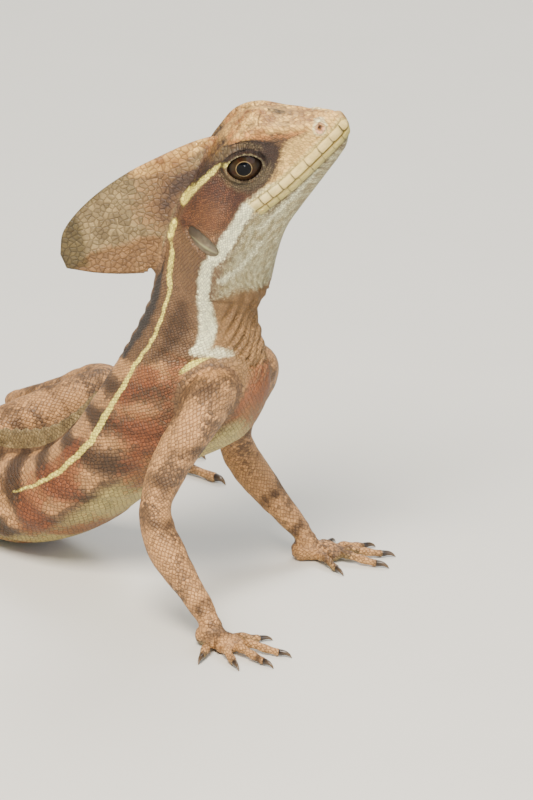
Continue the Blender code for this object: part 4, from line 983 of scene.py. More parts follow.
    def close(self, at: Array, placed: Array, mirrored: Array, fields: dict[str, Array]) -> Sheet:
        """Join both halves into rings, thin them out towards the tail, and round the ends."""
        rings = np.concatenate([placed, mirrored[:, -2:0:-1]], axis=1)
        flat = {k: np.concatenate([x, x[:, -2:0:-1]], axis=1) for k, x in fields.items()}
        flat["s"] = np.broadcast_to(at[:, None], rings.shape[:2])
        steps = np.where(at < self.head_rows_end, 1, np.where(at < self.neck_rows_end, 2, 4))
        snout = self.cap(rings[0], rings[1], 1.0, 5)[::-1]
        tip = self.cap(rings[-1][::4], rings[-2][::4], 0.45, 3)
        rows = [(0, 1)] * len(snout) + list(enumerate(steps)) + [(-1, 4)] * len(tip)
        stack = snout + [rings[row][::step] for row, step in enumerate(steps)] + tip
        thinned = {k: [value[row][::step] for row, step in rows] for k, value in flat.items()}
        return ring_sheet("body", stack, thinned)

    def cap(self, ring: Array, inner: Array, depth: float, count: int) -> list[Array]:
        """Rounded end: rings that shrink by the cosine and move on by the sine of a quarter turn."""
        centre = ring.mean(axis=0)
        ahead = unit(centre - inner.mean(axis=0))
        turns = np.linspace(0.0, math.pi / 2, count + 2)[1:-1]
        return [centre + (ring - centre) * math.cos(a) + ahead * depth * math.sin(a) for a in turns]


# Crests and limbs


CREST_TOP = ((-27.0, 15.0), (-33.3, 17.2), (-41.2, 18.8), (-49.5, 20.0), (-58.1, 20.1),
             (-66.1, 19.0), (-71.6, 16.8), (-75.4, 12.6))
CREST_FOOT = ((-29.0, 11.0), (-34.0, 9.6), (-41.0, 5.0), (-49.5, -0.6), (-57.0, -5.6),
              (-63.6, -3.0), (-70.8, 2.6), (-76.4, 8.6))
FOLD_LINE = ((-72.0, 8.0), (-69.4, 8.5), (-64.8, 6.8), (-60.9, 4.8), (-56.2, 4.3), (-53.0, 2.6),
             (-50.0, 0.0))
BELOW_FOLD = FOLD_LINE + ((-50.0, -8.0), (-80.0, -8.0), (-80.0, 8.0))
SAIL_TOP = ((-27.0, 12.6), (-31.2, 14.2), (-40.0, 14.3), (-46.3, 15.9), (-50.1, 18.8), (-50.0, 24.0),
            (-27.0, 24.0))
SAIL_REAR = ((-64.8, 22.0), (-65.6, 18.6), (-67.8, 13.7), (-70.4, 9.2), (-71.6, 6.2), (-82.0, 8.6),
             (-80.0, 22.0))


def two_sides(left: Array, right: Array | None = None) -> Array:
    """Rows that run up one side and back down the other."""
    return np.concatenate([left, (left if right is None else right)[:, ::-1]], axis=1)


def rounding(way: Array) -> Array:
    """Height of a circle: 0 at its rim, where way is 0, and 1 from where way is 1."""
    return np.sqrt(np.clip(1 - (1 - np.minimum(way, 1.0)) ** 2, 0.0, 1.0))


@dataclass
class HeadCrest:
    """The upright fin on the back of the head."""

    form: BodyForm
    columns: int = 150
    rows: int = 56
    base: float = 7.6
    rim: float = 1.1

    def build(self) -> Sheet:
        """Surface between the foot and the upper edge, both Hermite curves, with a round rim."""
        knots = np.linspace(0.0, 1.0, len(CREST_TOP))
        along = np.linspace(0.0, 1.0, self.columns)
        top, foot = spline(knots, CREST_TOP, along), spline(knots, CREST_FOOT, along)
        rise = np.sin(np.linspace(0.0, math.pi / 2, self.rows)) ** 0.9
        f = foot[:, :1] + rise * (top - foot)[:, :1]
        u = foot[:, 1:] + rise * (top - foot)[:, 1:]
        free = ramp(0.45, 0.8, along)[:, None]
        base = self.base * (1 - free) + 1.5 * free
        half = 0.5 * (self.rim + (base - self.rim) * (1 - rise) ** 2.0)
        edge = np.hypot(f - top[:, :1], u - top[:, 1:])
        low = np.hypot(f - foot[:, :1], u - foot[:, 1:])
        half = half * rounding(edge / 0.7) * (1 - free * (1 - rounding(low / 0.7)))
        half = np.maximum(half, 0.06)
        bumps = 0.05 * noise(np.stack([f, 0 * f, u], axis=-1), 1.6, 31)
        fold = hill(path_depth(f, u, [(a, b, 0.0) for a, b in FOLD_LINE]), 0.9)
        below = ramp(0.0, 0.6, patch_depth(f, u, BELOW_FOLD))
        half = half + (bumps + (0.12 * fold - 0.24 * below) * (half > 0.4)) * (half > 0.3)
        ends = np.minimum(along, 1 - along)[:, None] * self.columns
        half = np.maximum(half * np.clip(0.15 + ends / 3.0, 0.0, 1.0), 0.05)
        wave = 0.35 * np.sin(0.22 * f + 1.0) * rise * free
        sides = two_sides(head_to_plane(f, wave + half, u), head_to_plane(f, wave - half, u))
        fields = {k: two_sides(x) for k, x in self.paint(f, u, edge).items()}
        sheet = even_sheet("head_crest", self.form.place(sides, 0.0), fields)
        sheet.blend = 3.0
        return sheet

    def paint(self, f: Array, u: Array, edge: Array) -> dict[str, Array]:
        """Sail colours, the tan front, the brown zone under the fold, the dark rear band, and painted shade
        along the fold line.
        """
        fields = blank_fields(f.shape)
        crown = patch_depth(f, u, SAIL_TOP)
        fields.update(
            crown=crown,
            sail=least(9.0, -0.5 * crown),
            sail_low=most(patch_depth(f, u, BELOW_FOLD) + 0.4,
                          0.25 * (9.5 - np.hypot(f + 44.0, 1.1 * (u - 8.0)))),
            sail_dark=most(patch_depth(f, u, SAIL_REAR), 0.45 - edge - 2.7 * (f > -48)),
            temple=(0.3 + 0.7 * ramp(-45.0, -36.0, f)) * patch_depth(f, u, TEMPLE) - 0.4,
            yellow=most(path_depth(f, u, YELLOW_BROW), path_depth(f, u, YELLOW_EAR)),
            # painted shade: a faint dark line along the fold
            dark=path_depth(f, u, [(a, b, -0.05) for a, b in FOLD_LINE]),
            plated=np.ones(f.shape), lay_x=f / 1.3 + 100.0, lay_y=u / 1.25 + 100.0,
            s=np.full(f.shape, 50.0))
        return fields


@dataclass
class RayedFin:
    """A low fin along the back or the tail, with a ridge for each ray."""

    form: BodyForm
    part: str
    start: float
    end: float
    rays: int
    dorsal: bool

    def height(self, share: Array) -> Array:
        """Height along the fin: a sine hump that leans to the rear on the back."""
        if self.dorsal:
            hump = np.sin(math.pi * np.minimum(1.0, share * 1.02)) ** 0.8
            return 0.9 + 7.2 * hump * (0.35 + 0.65 * share)
        return 0.8 + 4.6 * np.sin(math.pi * np.minimum(1.0, share ** 0.7)) ** 0.9

    def build(self) -> Sheet:
        """Thin upright surface on the back's line, scalloped and ridged by its rays."""
        columns, rows = self.rays * 10 + 1, 12
        share = np.linspace(0.0, 1.0, columns)
        at = self.start + share * (self.end - self.start)
        back = spline(self.form.knots, self.form.net[:, 0], at)
        slope = np.gradient(back, axis=0)
        out = unit(np.stack([slope[:, 2], 0 * at, -slope[:, 0]], axis=-1))
        ridge = (0.5 + 0.5 * np.cos(2 * math.pi * np.arange(columns) / 10))[:, None]
        rise = np.linspace(0.0, 1.0, rows)[None]
        tall = self.height(share)[:, None] * (0.90 + 0.10 * ridge ** 0.6) + 0.8
        half = 0.5 * (0.95 - 0.3 * rise) + 0.22 * ridge * (1 - 0.5 * rise)
        half = half * np.sqrt(np.clip(1 - np.maximum(0, rise - 0.82) ** 2 / 0.18 ** 2, 0.02, 1))
        line = back[:, None] + out[:, None] * (rise * tall - 0.8)[..., None]
        line[..., 1] = half
        rings = self.form.place(two_sides(line, line * MIRROR), at[:, None])
        s = np.broadcast_to(at[:, None], (columns, rows))
        fields = blank_fields(s.shape)
        fields["sail"] = np.full(s.shape, 2.0)
        fields["bar"] = flank_bars(s, 0 * s, line * (1.0, 0.0, 1.0))
        fields.update(lay_x=s / 1.4, lay_y=rise * tall / 1.2, s=s)
        sheet = even_sheet(self.part, rings, {k: two_sides(x) for k, x in fields.items()})
        sheet.blend = 1.2
        return sheet


@dataclass
class TubeMaker:
    """Carries ellipses along curved guides, for limbs, palms, digits and claws."""

    form: BodyForm

    def guide(self, knots: Array, points: Array, at: Array, anchor: float) -> tuple[Array, Array]:
        """Places and directions along a Hermite curve that is bent into the pose."""
        behind, here, beyond = (self.form.place(spline(knots, points, at + step), anchor)
                                for step in (-0.05, 0.0, 0.05))
        return here, unit(beyond - behind)

    def rings(self, guided: tuple[Array, Array], wide: Array, thick: Array, up: tuple, around: int,
              grow: Array | float = 0.0) -> tuple[Array, Array]:
        """Ellipses square to the guide: centre + cos·width·side + sin·height·lift.

        Args:
            guided: Places and directions.
            wide: Half widths.
            thick: Half heights.
            up: Roughly upwards, for the ellipse's height.
            around: Points in each ring.
            grow: Extra growth of each point, added to both radii.

        Returns:
            The rings, not below the floor, and each point's angle from the upper side, 0 to π.
        """
        path, ahead = guided
        side = unit(np.cross(up, ahead))
        turn = np.linspace(0.0, 2 * math.pi, around, endpoint=False) + math.pi / 2
        rings = (path[:, None]
                 + (np.cos(turn) * (wide[:, None] + grow))[..., None] * side[:, None]
                 + (np.sin(turn) * (thick[:, None] + grow))[..., None] * np.cross(ahead, side)[:, None])
        angle = np.abs((turn - math.pi / 2 + math.pi) % (2 * math.pi) - math.pi)
        return on_floor(rings), np.broadcast_to(angle, rings.shape[:2])


SHOULDER = (93.4, 12.0, 56.4)
ELBOW = (84.7, 26.0, 29.5)
WRIST = (100.5, 31.0, 6.4)
HAND_YAW = 22.0
HIP = (-3.0, 6.5, 13.5)
KNEE = {"left": (2.0, 44.0, 24.0), "right": (19.0, 37.0, 25.0)}
ANKLE = {"left": (-41.0, 49.0, 6.6), "right": (-17.0, 60.0, 6.6)}
FOOT_YAW = {"left": 15.0, "right": 34.0}
ARM_STATIONS = ((0.0, 6.0, 7.0), (10.0, 5.4, 6.1), (21.0, 4.6, 4.8), (30.0, 3.8, 4.2),
                (35.0, 4.1, 4.4), (43.0, 4.4, 4.1), (53.0, 3.2, 2.9), (63.0, 2.6, 2.2))
LEG_STATIONS = ((0.0, 8.0, 7.0), (16.0, 6.6, 6.6), (30.0, 5.4, 5.6), (42.0, 4.4, 4.4),
                (56.0, 5.0, 4.8), (70.0, 3.6, 3.4), (86.0, 2.9, 2.6))
ARM_UP = (0.8, 0.45, 0.1)
# Digits: root ahead and to the side, heading in degrees, length, radius
FINGERS = (((3.5, 3.2), 62.0, 6.5, 1.05), ((6.8, 2.2), 27.0, 9.5, 1.05), ((7.8, 0.4), 2.0, 12.0, 1.1),
           ((7.2, -1.6), -22.0, 12.0, 1.1), ((4.0, -3.0), -58.0, 8.0, 1.0))
TOES = (((10.0, 3.6), 46.0, 10.0, 1.2), ((19.0, 3.2), 26.0, 17.0, 1.3), ((23.0, 1.6), 11.0, 29.0, 1.4),
        ((24.0, -0.6), -4.0, 43.0, 1.45), ((10.0, -3.4), -44.0, 22.0, 1.3))
CLAW = 3.0


class Side(Enum):
    """The two sides of the animal, with the sign of their side coordinate."""

    LEFT = 1.0
    RIGHT = -1.0

    @property
    def word(self) -> str:
        """Name used in the nodes."""
        return self.name.lower()


@dataclass
class Limb:
    """An arm or a leg with its paw, as overlapping closed tubes and separate claws."""

    tubes: TubeMaker
    part: str
    side: float
    joints: Array
    stations: list
    anchor: float
    up: tuple
    yaw: float
    digits: tuple
    palm: tuple[float, float, float]
    seed: int

    def limb_fields(self, along: Array, angle: Array, girth: Array, points: Array,
                    start: float) -> dict[str, Array]:
        """Pattern of a limb: pink tan, with brown bars across it and a pale underside."""
        fields = blank_fields(along.shape)
        bars = np.cos(2 * math.pi * (along + start) / 11.0) + 0.9 * noise(points, 5.0, self.seed)
        fields["patch"] = 0.6 + 2.4 * noise(points, 5.0, self.seed + 1)
        fields["bar"] = 1.6 * (bars - 1.2) + 0.9 * noise(points, 1.6, self.seed + 3)
        fields["belly"] = (angle - 2.2) * girth
        if self.part.startswith("arm") and not start:
            fields["belly"] = least(fields["belly"], 0.5 * (along - 16.0))
        fields.update(lay_x=along / 1.05 + start * 3 + 40 * self.seed, lay_y=angle * girth,
                      s=np.full(along.shape, 90.0))
        return fields

    def tube_sheet(self, knots: Array, line: Array, at: Array, wide: Array, thick: Array, up: tuple,
                   around: int, start: float) -> Sheet:
        """One closed tube along a line; start shifts its pattern, and is 0 on the limb itself."""
        guided = self.tubes.guide(knots, line, at, self.anchor)
        grow = 0.0
        if not start:
            turn = np.linspace(0, 6.283, around)
            circle = np.stack([np.cos(turn), np.sin(turn), 0 * turn], axis=-1)
            grow = 0.22 * noise(guided[0][:, None] + 2.0 * circle, 3.0, self.seed + 2)
        rings, angle = self.tubes.rings(guided, wide, thick, up, around, grow)
        along = np.broadcast_to((at - at[0])[:, None], angle.shape)
        girth = np.broadcast_to(0.5 * (wide + thick)[:, None], angle.shape)
        sheet = even_sheet(self.part, rings, self.limb_fields(along, angle, girth, rings, start))
        if start:
            sheet.blend, sheet.soft = 1.4, 0.45
        return sheet

    def build(self) -> list[Sheet]:
        """Limb tube, ankle, sole and digits: tubes that overlap at their roots."""
        steps = np.linalg.norm(np.diff(self.joints, axis=0), axis=1)
        lengths = running(steps)
        at = np.linspace(0.0, lengths[-1], int(lengths[-1] / 0.6))
        where, *radii = np.array(self.stations).T
        wide, thick = (spline(where, radius, at) for radius in radii)
        sheets = [self.tube_sheet(lengths, self.joints, at, wide, thick, self.up, 44, 0.0)]
        ankle, before = self.joints[-1], self.joints[-2]
        steps = np.array([-3.0, 0.0, 2.0, 4.6, 6.4])
        at = np.linspace(steps[0], steps[-1], 20)
        share = np.interp(at, steps, [0.98, 1.0, 1.0, 0.85, 0.5])
        sheets.append(self.tube_sheet(steps, ankle + unit(ankle - before) * steps[:, None], at,
                                      radii[0][-1] * share, radii[1][-1] * share, self.up, 36, 70.0))
        ground, heading, _ = self.frame()
        length, half_width, half_height = self.palm
        knots = np.array([-2.9, -2.1, 1.0, 0.5 * length, length, length + 1.6])
        sole = ground + heading * knots[:, None]
        sole[:, 2] = half_height * np.array([0.95, 1.0, 1.15, 1.0, 0.8, 0.7])
        at = np.linspace(knots[0], knots[-1], int((knots[-1] - knots[0]) / 0.5) + 4)
        wide = half_width * spline(knots, [0.3, 0.62, 0.86, 0.84, 1.0, 0.6], at)
        thick = half_height * spline(knots, [0.5, 0.95, 1.15, 1.05, 0.85, 0.5], at)
        sheets.append(self.tube_sheet(knots, sole, at, wide, thick, (0, 0, 1), 36, 80.0))
        return sheets + [self.digit(index) for index in range(len(self.digits))]

    def frame(self) -> tuple[Array, Array, Array]:
        """Place of the paw on the floor, its heading, and the way across it."""
        turn = math.radians(self.yaw)
        heading = np.array([math.cos(turn), self.side * math.sin(turn), 0.0])
        across = np.array([-heading[1], heading[0], 0.0]) * self.side
        return self.joints[-1] * (1.0, 1.0, 0.0), heading, across

    def digit_axis(self, root: tuple, angle: float) -> tuple[Array, Array]:
        """Where a digit leaves the palm, on the floor, and its direction."""
        ground, heading, across = self.frame()
        turn = math.radians(angle)
        return (ground + heading * root[0] + across * root[1],
                heading * math.cos(turn) + across * math.sin(turn))

    def digit(self, index: int) -> Sheet:
        """One digit, with low knuckles and a round tip, from inside the palm to its claw."""
        root, angle, reach, radius = self.digits[index]
        base, out = self.digit_axis(root, angle)
        steps = np.array([-2.5, 0.0, 0.35 * reach, 0.7 * reach, reach])
        line = base + out * steps[:, None]
        line[:, 2] = np.array([1.5, 1.7, 2.0, 1.35, 0.9]) * radius
        at = np.linspace(steps[0], reach, int(reach / 0.42) + 8)
        phalanx = max(3.6, reach / (4 if reach > 20 else 3))
        knuckle = 1 + 0.10 * np.cos(2 * math.pi * at / phalanx) * ramp(1.0, 3.0, at)
        girth = radius * np.interp(at, [0, reach], [1.0, 0.78]) * knuckle
        girth = np.maximum(girth * rounding((reach + 0.05 - at) / (0.8 * radius)), 0.15)
        return self.tube_sheet(steps, line, at, girth * 1.1, girth, (0, 0, 1), 18, 90.0 + 20 * index)

    def claws(self) -> list[Sheet]:
        """Claws: cones that arch over and come down to the floor."""
        sheets = []
        for root, angle, reach, radius in self.digits:
            base, out = self.digit_axis(root, angle)
            steps = np.array([-1.2, 0.0, 0.45 * CLAW, 0.8 * CLAW, CLAW])
            line = base + out * (reach + steps)[:, None]
            line[:, 2] = radius * np.array([0.95, 1.0, 1.0, 0.6, 0.1]) + 0.05
            at = np.linspace(steps[0], steps[-1], 22)
            girth = radius * np.interp(at, steps, [0.5, 0.62, 0.45, 0.26, 0.05])
            guided = self.tubes.guide(steps, line, at, self.anchor)
            rings, _ = self.tubes.rings(guided, girth, girth * 1.15, (0, 0, 1), 14)
            sheets.append(even_sheet("claws", rings, {"tip": (at / CLAW)[:, None]}))
        return sheets


def make_limb(tubes: TubeMaker, side: Side, arm: bool) -> Limb:
    """Set out one limb with the sizes of its solids."""
    form, sign, word = tubes.form, side.value, side.word
    turned = (1.0, sign, 1.0)
    if not arm:
        joints = np.array([HIP, KNEE[word], ANKLE[word]]) * turned
        return Limb(tubes, f"leg_{word}", sign, joints, list(LEG_STATIONS), form.hip, (0.0, 0.0, 1.0),
                    FOOT_YAW[word], TOES, (25.0, 4.4, 2.6), 47)
    root = (SHOULDER[0] - 1.5, 4.0, SHOULDER[2] + 2.0)
    joints = np.array([root, SHOULDER, ELBOW, WRIST]) * turned
    first = float(np.linalg.norm(joints[1] - joints[0]))
    stations = [(0.0,) + ARM_STATIONS[0][1:]] + [(d + first, w, t) for d, w, t in ARM_STATIONS]
    return Limb(tubes, f"arm_{word}", sign, joints, stations, form.shoulder,
                (ARM_UP[0], ARM_UP[1] * sign, ARM_UP[2]), HAND_YAW, FINGERS, (8.0, 3.8, 2.2), 41)


# Joining and parting the skin


@dataclass
class SkinJoiner:
    """Joins the closed sheets into one skin, softens it where they meet and parts it again."""

    sheets: list[Sheet]
    smoothing_steps: int = 60
    reach: int = 30

    def join(self) -> None:
        """Boolean union of all sheets, read back as arrays."""
        things = [place_in_scene(f"sheet_{i}", sheet_mesh("sheet", x)) for i, x in enumerate(self.sheets)]
        body, others = things[0], things[1:]
        group = bpy.data.collections.new("sheets")
        bpy.context.scene.collection.children.link(group)
        for thing in others:
            group.objects.link(thing)
        modifier = body.modifiers.new("union", "BOOLEAN")
        modifier.operation, modifier.operand_type = "UNION", "COLLECTION"
        modifier.collection, modifier.solver = group, "MANIFOLD"
        settled = body.evaluated_get(bpy.context.evaluated_depsgraph_get())
        self.mesh = bpy.data.meshes.new_from_object(settled)
        for thing in things:
            bpy.data.objects.remove(thing)
        bpy.data.collections.remove(group)
        self.points = read_rows(self.mesh.vertices, "co", 3, np.float32).astype(float)
        self.corners = read_rows(self.mesh.loops, "vertex_index", 1, np.int32)
        self.starts = read_rows(self.mesh.polygons, "loop_start", 1, np.int32)
        self.sizes = np.diff(np.append(self.starts, len(self.corners)))
        LOG.info("joined skin: %d points, %d faces", len(self.points), len(self.starts))

    def match(self) -> None:
        """Give each point that came through the union its sheet and its fields."""
        source = np.concatenate([x.points for x in self.sheets]).astype(np.float32)
        labels = np.concatenate([np.full(len(x.points), i) for i, x in enumerate(self.sheets)])
        names = list(self.sheets[0].fields)
        values = {k: np.concatenate([x.fields[k] for x in self.sheets]) for k in names}
        source_keys, found_keys = self.keys(source), self.keys(self.points)
        order = np.argsort(source_keys, kind="stable")
        place = np.clip(np.searchsorted(source_keys[order], found_keys), 0, len(order) - 1)
        hit = source_keys[order][place] == found_keys
        index = order[place]
        self.label = np.where(hit, labels[index], -1)
        self.fields = {k: np.where(hit, values[k][index], 0.0) for k in names}
        LOG.info("points new at the joints: %d", int((~hit).sum()))

    def keys(self, points: Array) -> Array:
        """One whole number for each place, taken to the nearest half micrometre."""
        cells = np.round(points.astype(float) * 2000).astype(np.int64)
        return cells @ np.array([1, 4194301, 17592186044399])

    def sum_near(self, values: Array) -> Array:
        """Sum of the values at each point's neighbours."""
        return np.bincount(self.links[:, 0], values[self.links[:, 1]], len(self.points))

    def spread_from_joints(self, edges: Array) -> Array:
        """Weight of each point: 1 on a joint, falling with the way along the edges.

        The way over which it falls to 0 is the smallest blend of the sheets that meet there.
        """
        blends = np.array([x.blend for x in self.sheets] + [99.0])
        long = np.linalg.norm(self.points[edges[:, 0]] - self.points[edges[:, 1]], axis=1)
        weight = (self.label < 0).astype(float)
        reach = blends[self.label]
        for _ in range(3):
            lowest = reach.copy()
            np.minimum.at(lowest, self.links[:, 0], reach[self.links[:, 1]])
            reach = np.where(self.label < 0, lowest, reach)
        reach = np.where(self.label < 0, reach, 1.0)
        for _ in range(self.reach):
            grown, carried = weight.copy(), reach.copy()
            for a, b in ((0, 1), (1, 0)):
                offer = weight[edges[:, b]] - long / reach[edges[:, b]]
                np.maximum.at(grown, edges[:, a], offer)
                taken = (offer >= grown[edges[:, a]] - 1e-9) & (offer > weight[edges[:, a]])
                carried[edges[taken, a]] = reach[edges[taken, b]]
            weight, reach = grown, carried
        return weight

    def smooth(self) -> None:
        """Move points near a joint towards the mean of their neighbours, and their colours too."""
        edges = read_rows(self.mesh.edges, "vertices", 2, np.int32)
        self.links = np.concatenate([edges, edges[:, ::-1]])
        self.near_label = self.label.copy()
        for _ in range(6):
            best = self.near_label.copy()
            np.maximum.at(best, self.links[:, 0], self.near_label[self.links[:, 1]])
            self.near_label = np.where(self.label < 0, best, self.label)
        known = (self.label >= 0).astype(float)
        for _ in range(4):
            total = self.sum_near(known)
            for key, values in self.fields.items():
                mean = self.sum_near(values * known) / np.maximum(total, 1)
                self.fields[key] = np.where(known > 0, values, mean)
            known = np.maximum(known, (total > 0).astype(float))
        weight = self.spread_from_joints(edges)
        self.fields["seam"] = ramp(0.25, 0.7, weight)
        self.links = self.links[weight[self.links[:, 0]] > 0]
        degree = np.maximum(np.bincount(self.links[:, 0], minlength=len(weight)), 1)
        soft = np.array([x.soft for x in self.sheets] + [1.0])[self.label] * weight ** 0.7
        for _ in range(self.smoothing_steps):
            for column in self.points.T:
                column += 0.6 * soft * (self.sum_near(column) / degree - column)
        for key in MARK_NAMES + ZONE_NAMES:
            values = self.fields[key]
            for _ in range(24):
                values = values + 0.6 * weight * (self.sum_near(values) / degree - values)
            self.fields[key] = values
        self.points = on_floor(self.points)
        self.mesh.vertices.foreach_set("co", self.points.astype(np.float32).ravel())
        self.mesh.update()
        self.normals = read_rows(self.mesh.vertex_normals, "vector", 3, np.float32)

    def top_label(self, labels: Array) -> Array:
        """Highest label among the corners of each face."""
        return np.maximum.reduceat(labels[self.corners], self.starts)

    def part_pieces(self, cuts: dict[str, tuple[float, float]]) -> list[tuple[str, bpy.types.Object]]:
        """Part the skin into pieces by sheet and, on the body, by the way along it."""
        count = len(self.starts)
        face_of = np.repeat(np.arange(count), self.sizes)
        label = self.top_label(self.label)
        names = np.array([x.part for x in self.sheets])
        part = names[np.maximum(np.where(label < 0, self.top_label(self.near_label), label), 0)]
        known = (label[face_of] < 0) | (self.label[self.corners] >= 0)
        total = np.bincount(face_of, self.fields["s"][self.corners] * known, count)
        s = total / np.maximum(np.bincount(face_of, known, count), 1)
        groups = {piece: (part == "body") & (s >= low) & (s < high) for piece, (low, high) in cuts.items()}
        groups.update({name: part == name for name in dict.fromkeys(names) if name != "body"})
        return [(name, self.extract(f"{name}_skin", faces, face_of)) for name, faces in groups.items()]

    def extract(self, name: str, faces: Array, face_of: Array) -> bpy.types.Object:
        """Make one piece from some faces, with the whole skin's normals and its own fields."""
        sizes = self.sizes[faces]
        starts = np.concatenate([[0], np.cumsum(sizes)[:-1]])
        used, local = np.unique(self.corners[faces[face_of]], return_inverse=True)
        mesh = mesh_from(name, self.points[used] * TO_METRES, local, starts)
        kept = {"lay": ("lay_x", "lay_y", "seam"), "zones": ZONE_NAMES}
        kept.update({f"marks_{i // 3}": MARK_NAMES[i:i + 3] for i in range(0, len(MARK_NAMES), 3)})
        add_fields(mesh, {key: values[used] for key, values in self.fields.items()}, kept)
        mesh.normals_split_custom_set_from_vertices(self.normals[used])
        LOG.info("%s: %d faces", name, len(sizes))
        return place_in_scene(name, mesh)


# Materials


def linear(colour: str) -> tuple[float, ...]:
    """sRGB hex to linear light with alpha 1."""
    parts = [int(colour[i:i + 2], 16) / 255 for i in (1, 3, 5)]
    return (*[c / 12.92 if c <= 0.04045 else ((c + 0.055) / 1.055) ** 2.4 for c in parts], 1.0)


# Each node that the materials use: type, settings, output, and the inputs its values go to in turn
NODES = {
    "mix": ("Mix", {"data_type": "RGBA"}, 2, (0, 6, 7)),
    "stain": ("Mix", {"data_type": "RGBA", "blend_type": "MULTIPLY"}, 2, (0, 6, 7)),
    "blend": ("Mix", {"data_type": "FLOAT"}, 0, (0, 2, 3)),
    "times": ("Math", {"operation": "MULTIPLY"}, 0, (0, 1)),
    "less": ("Math", {"operation": "SUBTRACT"}, 0, (0, 1)),
    "times_plus": ("Math", {"operation": "MULTIPLY_ADD"}, 0, (0, 1, 2)),
    "range": ("MapRange", {}, 0, (0, 1, 2, 3, 4)),
    "ease": ("MapRange", {"interpolation_type": "SMOOTHSTEP"}, 0, (0, 1, 2, 3, 4)),
    "bend": ("VectorMath", {"operation": "MULTIPLY_ADD"}, 0, (0, 1, 2)),
    "from": ("VectorMath", {"operation": "SUBTRACT"}, 0, (0, 1)),
    "dot": ("VectorMath", {"operation": "DOT_PRODUCT"}, 1, (0, 1)),
    "turn": ("Mapping", {}, 0, (0, 2, 3)),
    "split": ("SeparateXYZ", {}, 0, (0,)),
    "red": ("SeparateColor", {}, 0, (0,)),
    "field": ("Attribute", {}, "Vector", ()),
    "number": ("Attribute", {}, "Fac", ()),
    "place": ("TexCoord", {}, "Object", ()),
    "noise": ("TexNoise", {}, 0, ("Vector", "Scale", "Detail")),
    "flat_noise": ("TexNoise", {"noise_dimensions": "2D"}, 0, ("Vector", "Scale", "Detail")),
    "cells": ("TexVoronoi", {}, "Distance", ("Vector", "Scale", "Randomness")),
    "bump": ("Bump", {}, 0, ("Strength", "Distance", "Height")),
    "surface": ("BsdfPrincipled", {}, 0, ("Base Color", "Roughness", "IOR")),
}
FLAT = {"voronoi_dimensions": "2D"}
BORDERS = {"feature": "DISTANCE_TO_EDGE"}


class NodeDesk:
    """A material's node tree, with one function that adds a node with its settings and links."""

    def __init__(self, name: str) -> None:
        """Start an empty material with its output."""
        self.material = bpy.data.materials.new(name)
        self.material.use_nodes = True
        self.tree = self.material.node_tree
        self.tree.nodes.clear()
        self.output = self.tree.nodes.new("ShaderNodeOutputMaterial")

    def add(self, kind: str, *values: Socket | str | float | tuple, **named) -> Socket:
        """Add a node.

        Args:
            kind: Its row in NODES.
            *values: Sockets, hex colours or numbers for the row's inputs, in turn.
            **named: Settings and further inputs by name, with _ for a space.

        Returns:
            The row's output.
        """
        type_name, settings, out, order = NODES[kind]
        node = self.tree.nodes.new("ShaderNode" + type_name)
        inputs = dict(zip(order, values))
        for key, value in {**settings, **named}.items():
            if hasattr(node, key):
                setattr(node, key, value)
            else:
                inputs[key.replace("_", " ")] = value
        for key, value in inputs.items():
            if isinstance(value, Socket):
                self.tree.links.new(value, node.inputs[key])
            else:
                node.inputs[key].default_value = linear(value) if isinstance(value, str) else value
        return node.outputs[out]

    def finish(self, shader: Socket) -> bpy.types.Material:
        """Link the shader to the material's output."""
        self.tree.links.new(shader, self.output.inputs["Surface"])
        return self.material


@dataclass(frozen=True)
class ScaleNet:
    """One kind of scales: cells over the skin's lay, whose width is 1.

    density is cells for each width, turn sets the rows aslant in degrees, overlap raises the
    rear edges, warp bends the rows, height is the relief of a scale in metres, and joint the
    width of the groove round it.
    """

    density: float
    randomness: float
    turn: float
    overlap: float
    warp: float
    height: float
    joint: float


class Scales(Enum):
    """The kinds of scales on the animal."""

    OVERLAPPING = ScaleNet(1.2, 0.45, 45.0, 0.9, 0.3, 0.00016, 0.13)
    GRANULAR = ScaleNet(1.6, 0.75, 45.0, 0.6, 0.3, 0.00028, 0.17)
    PLATED = ScaleNet(0.95, 0.90, 0.0, 0.0, 0.4, 0.00014, 0.20)


GROOVE = 0.14


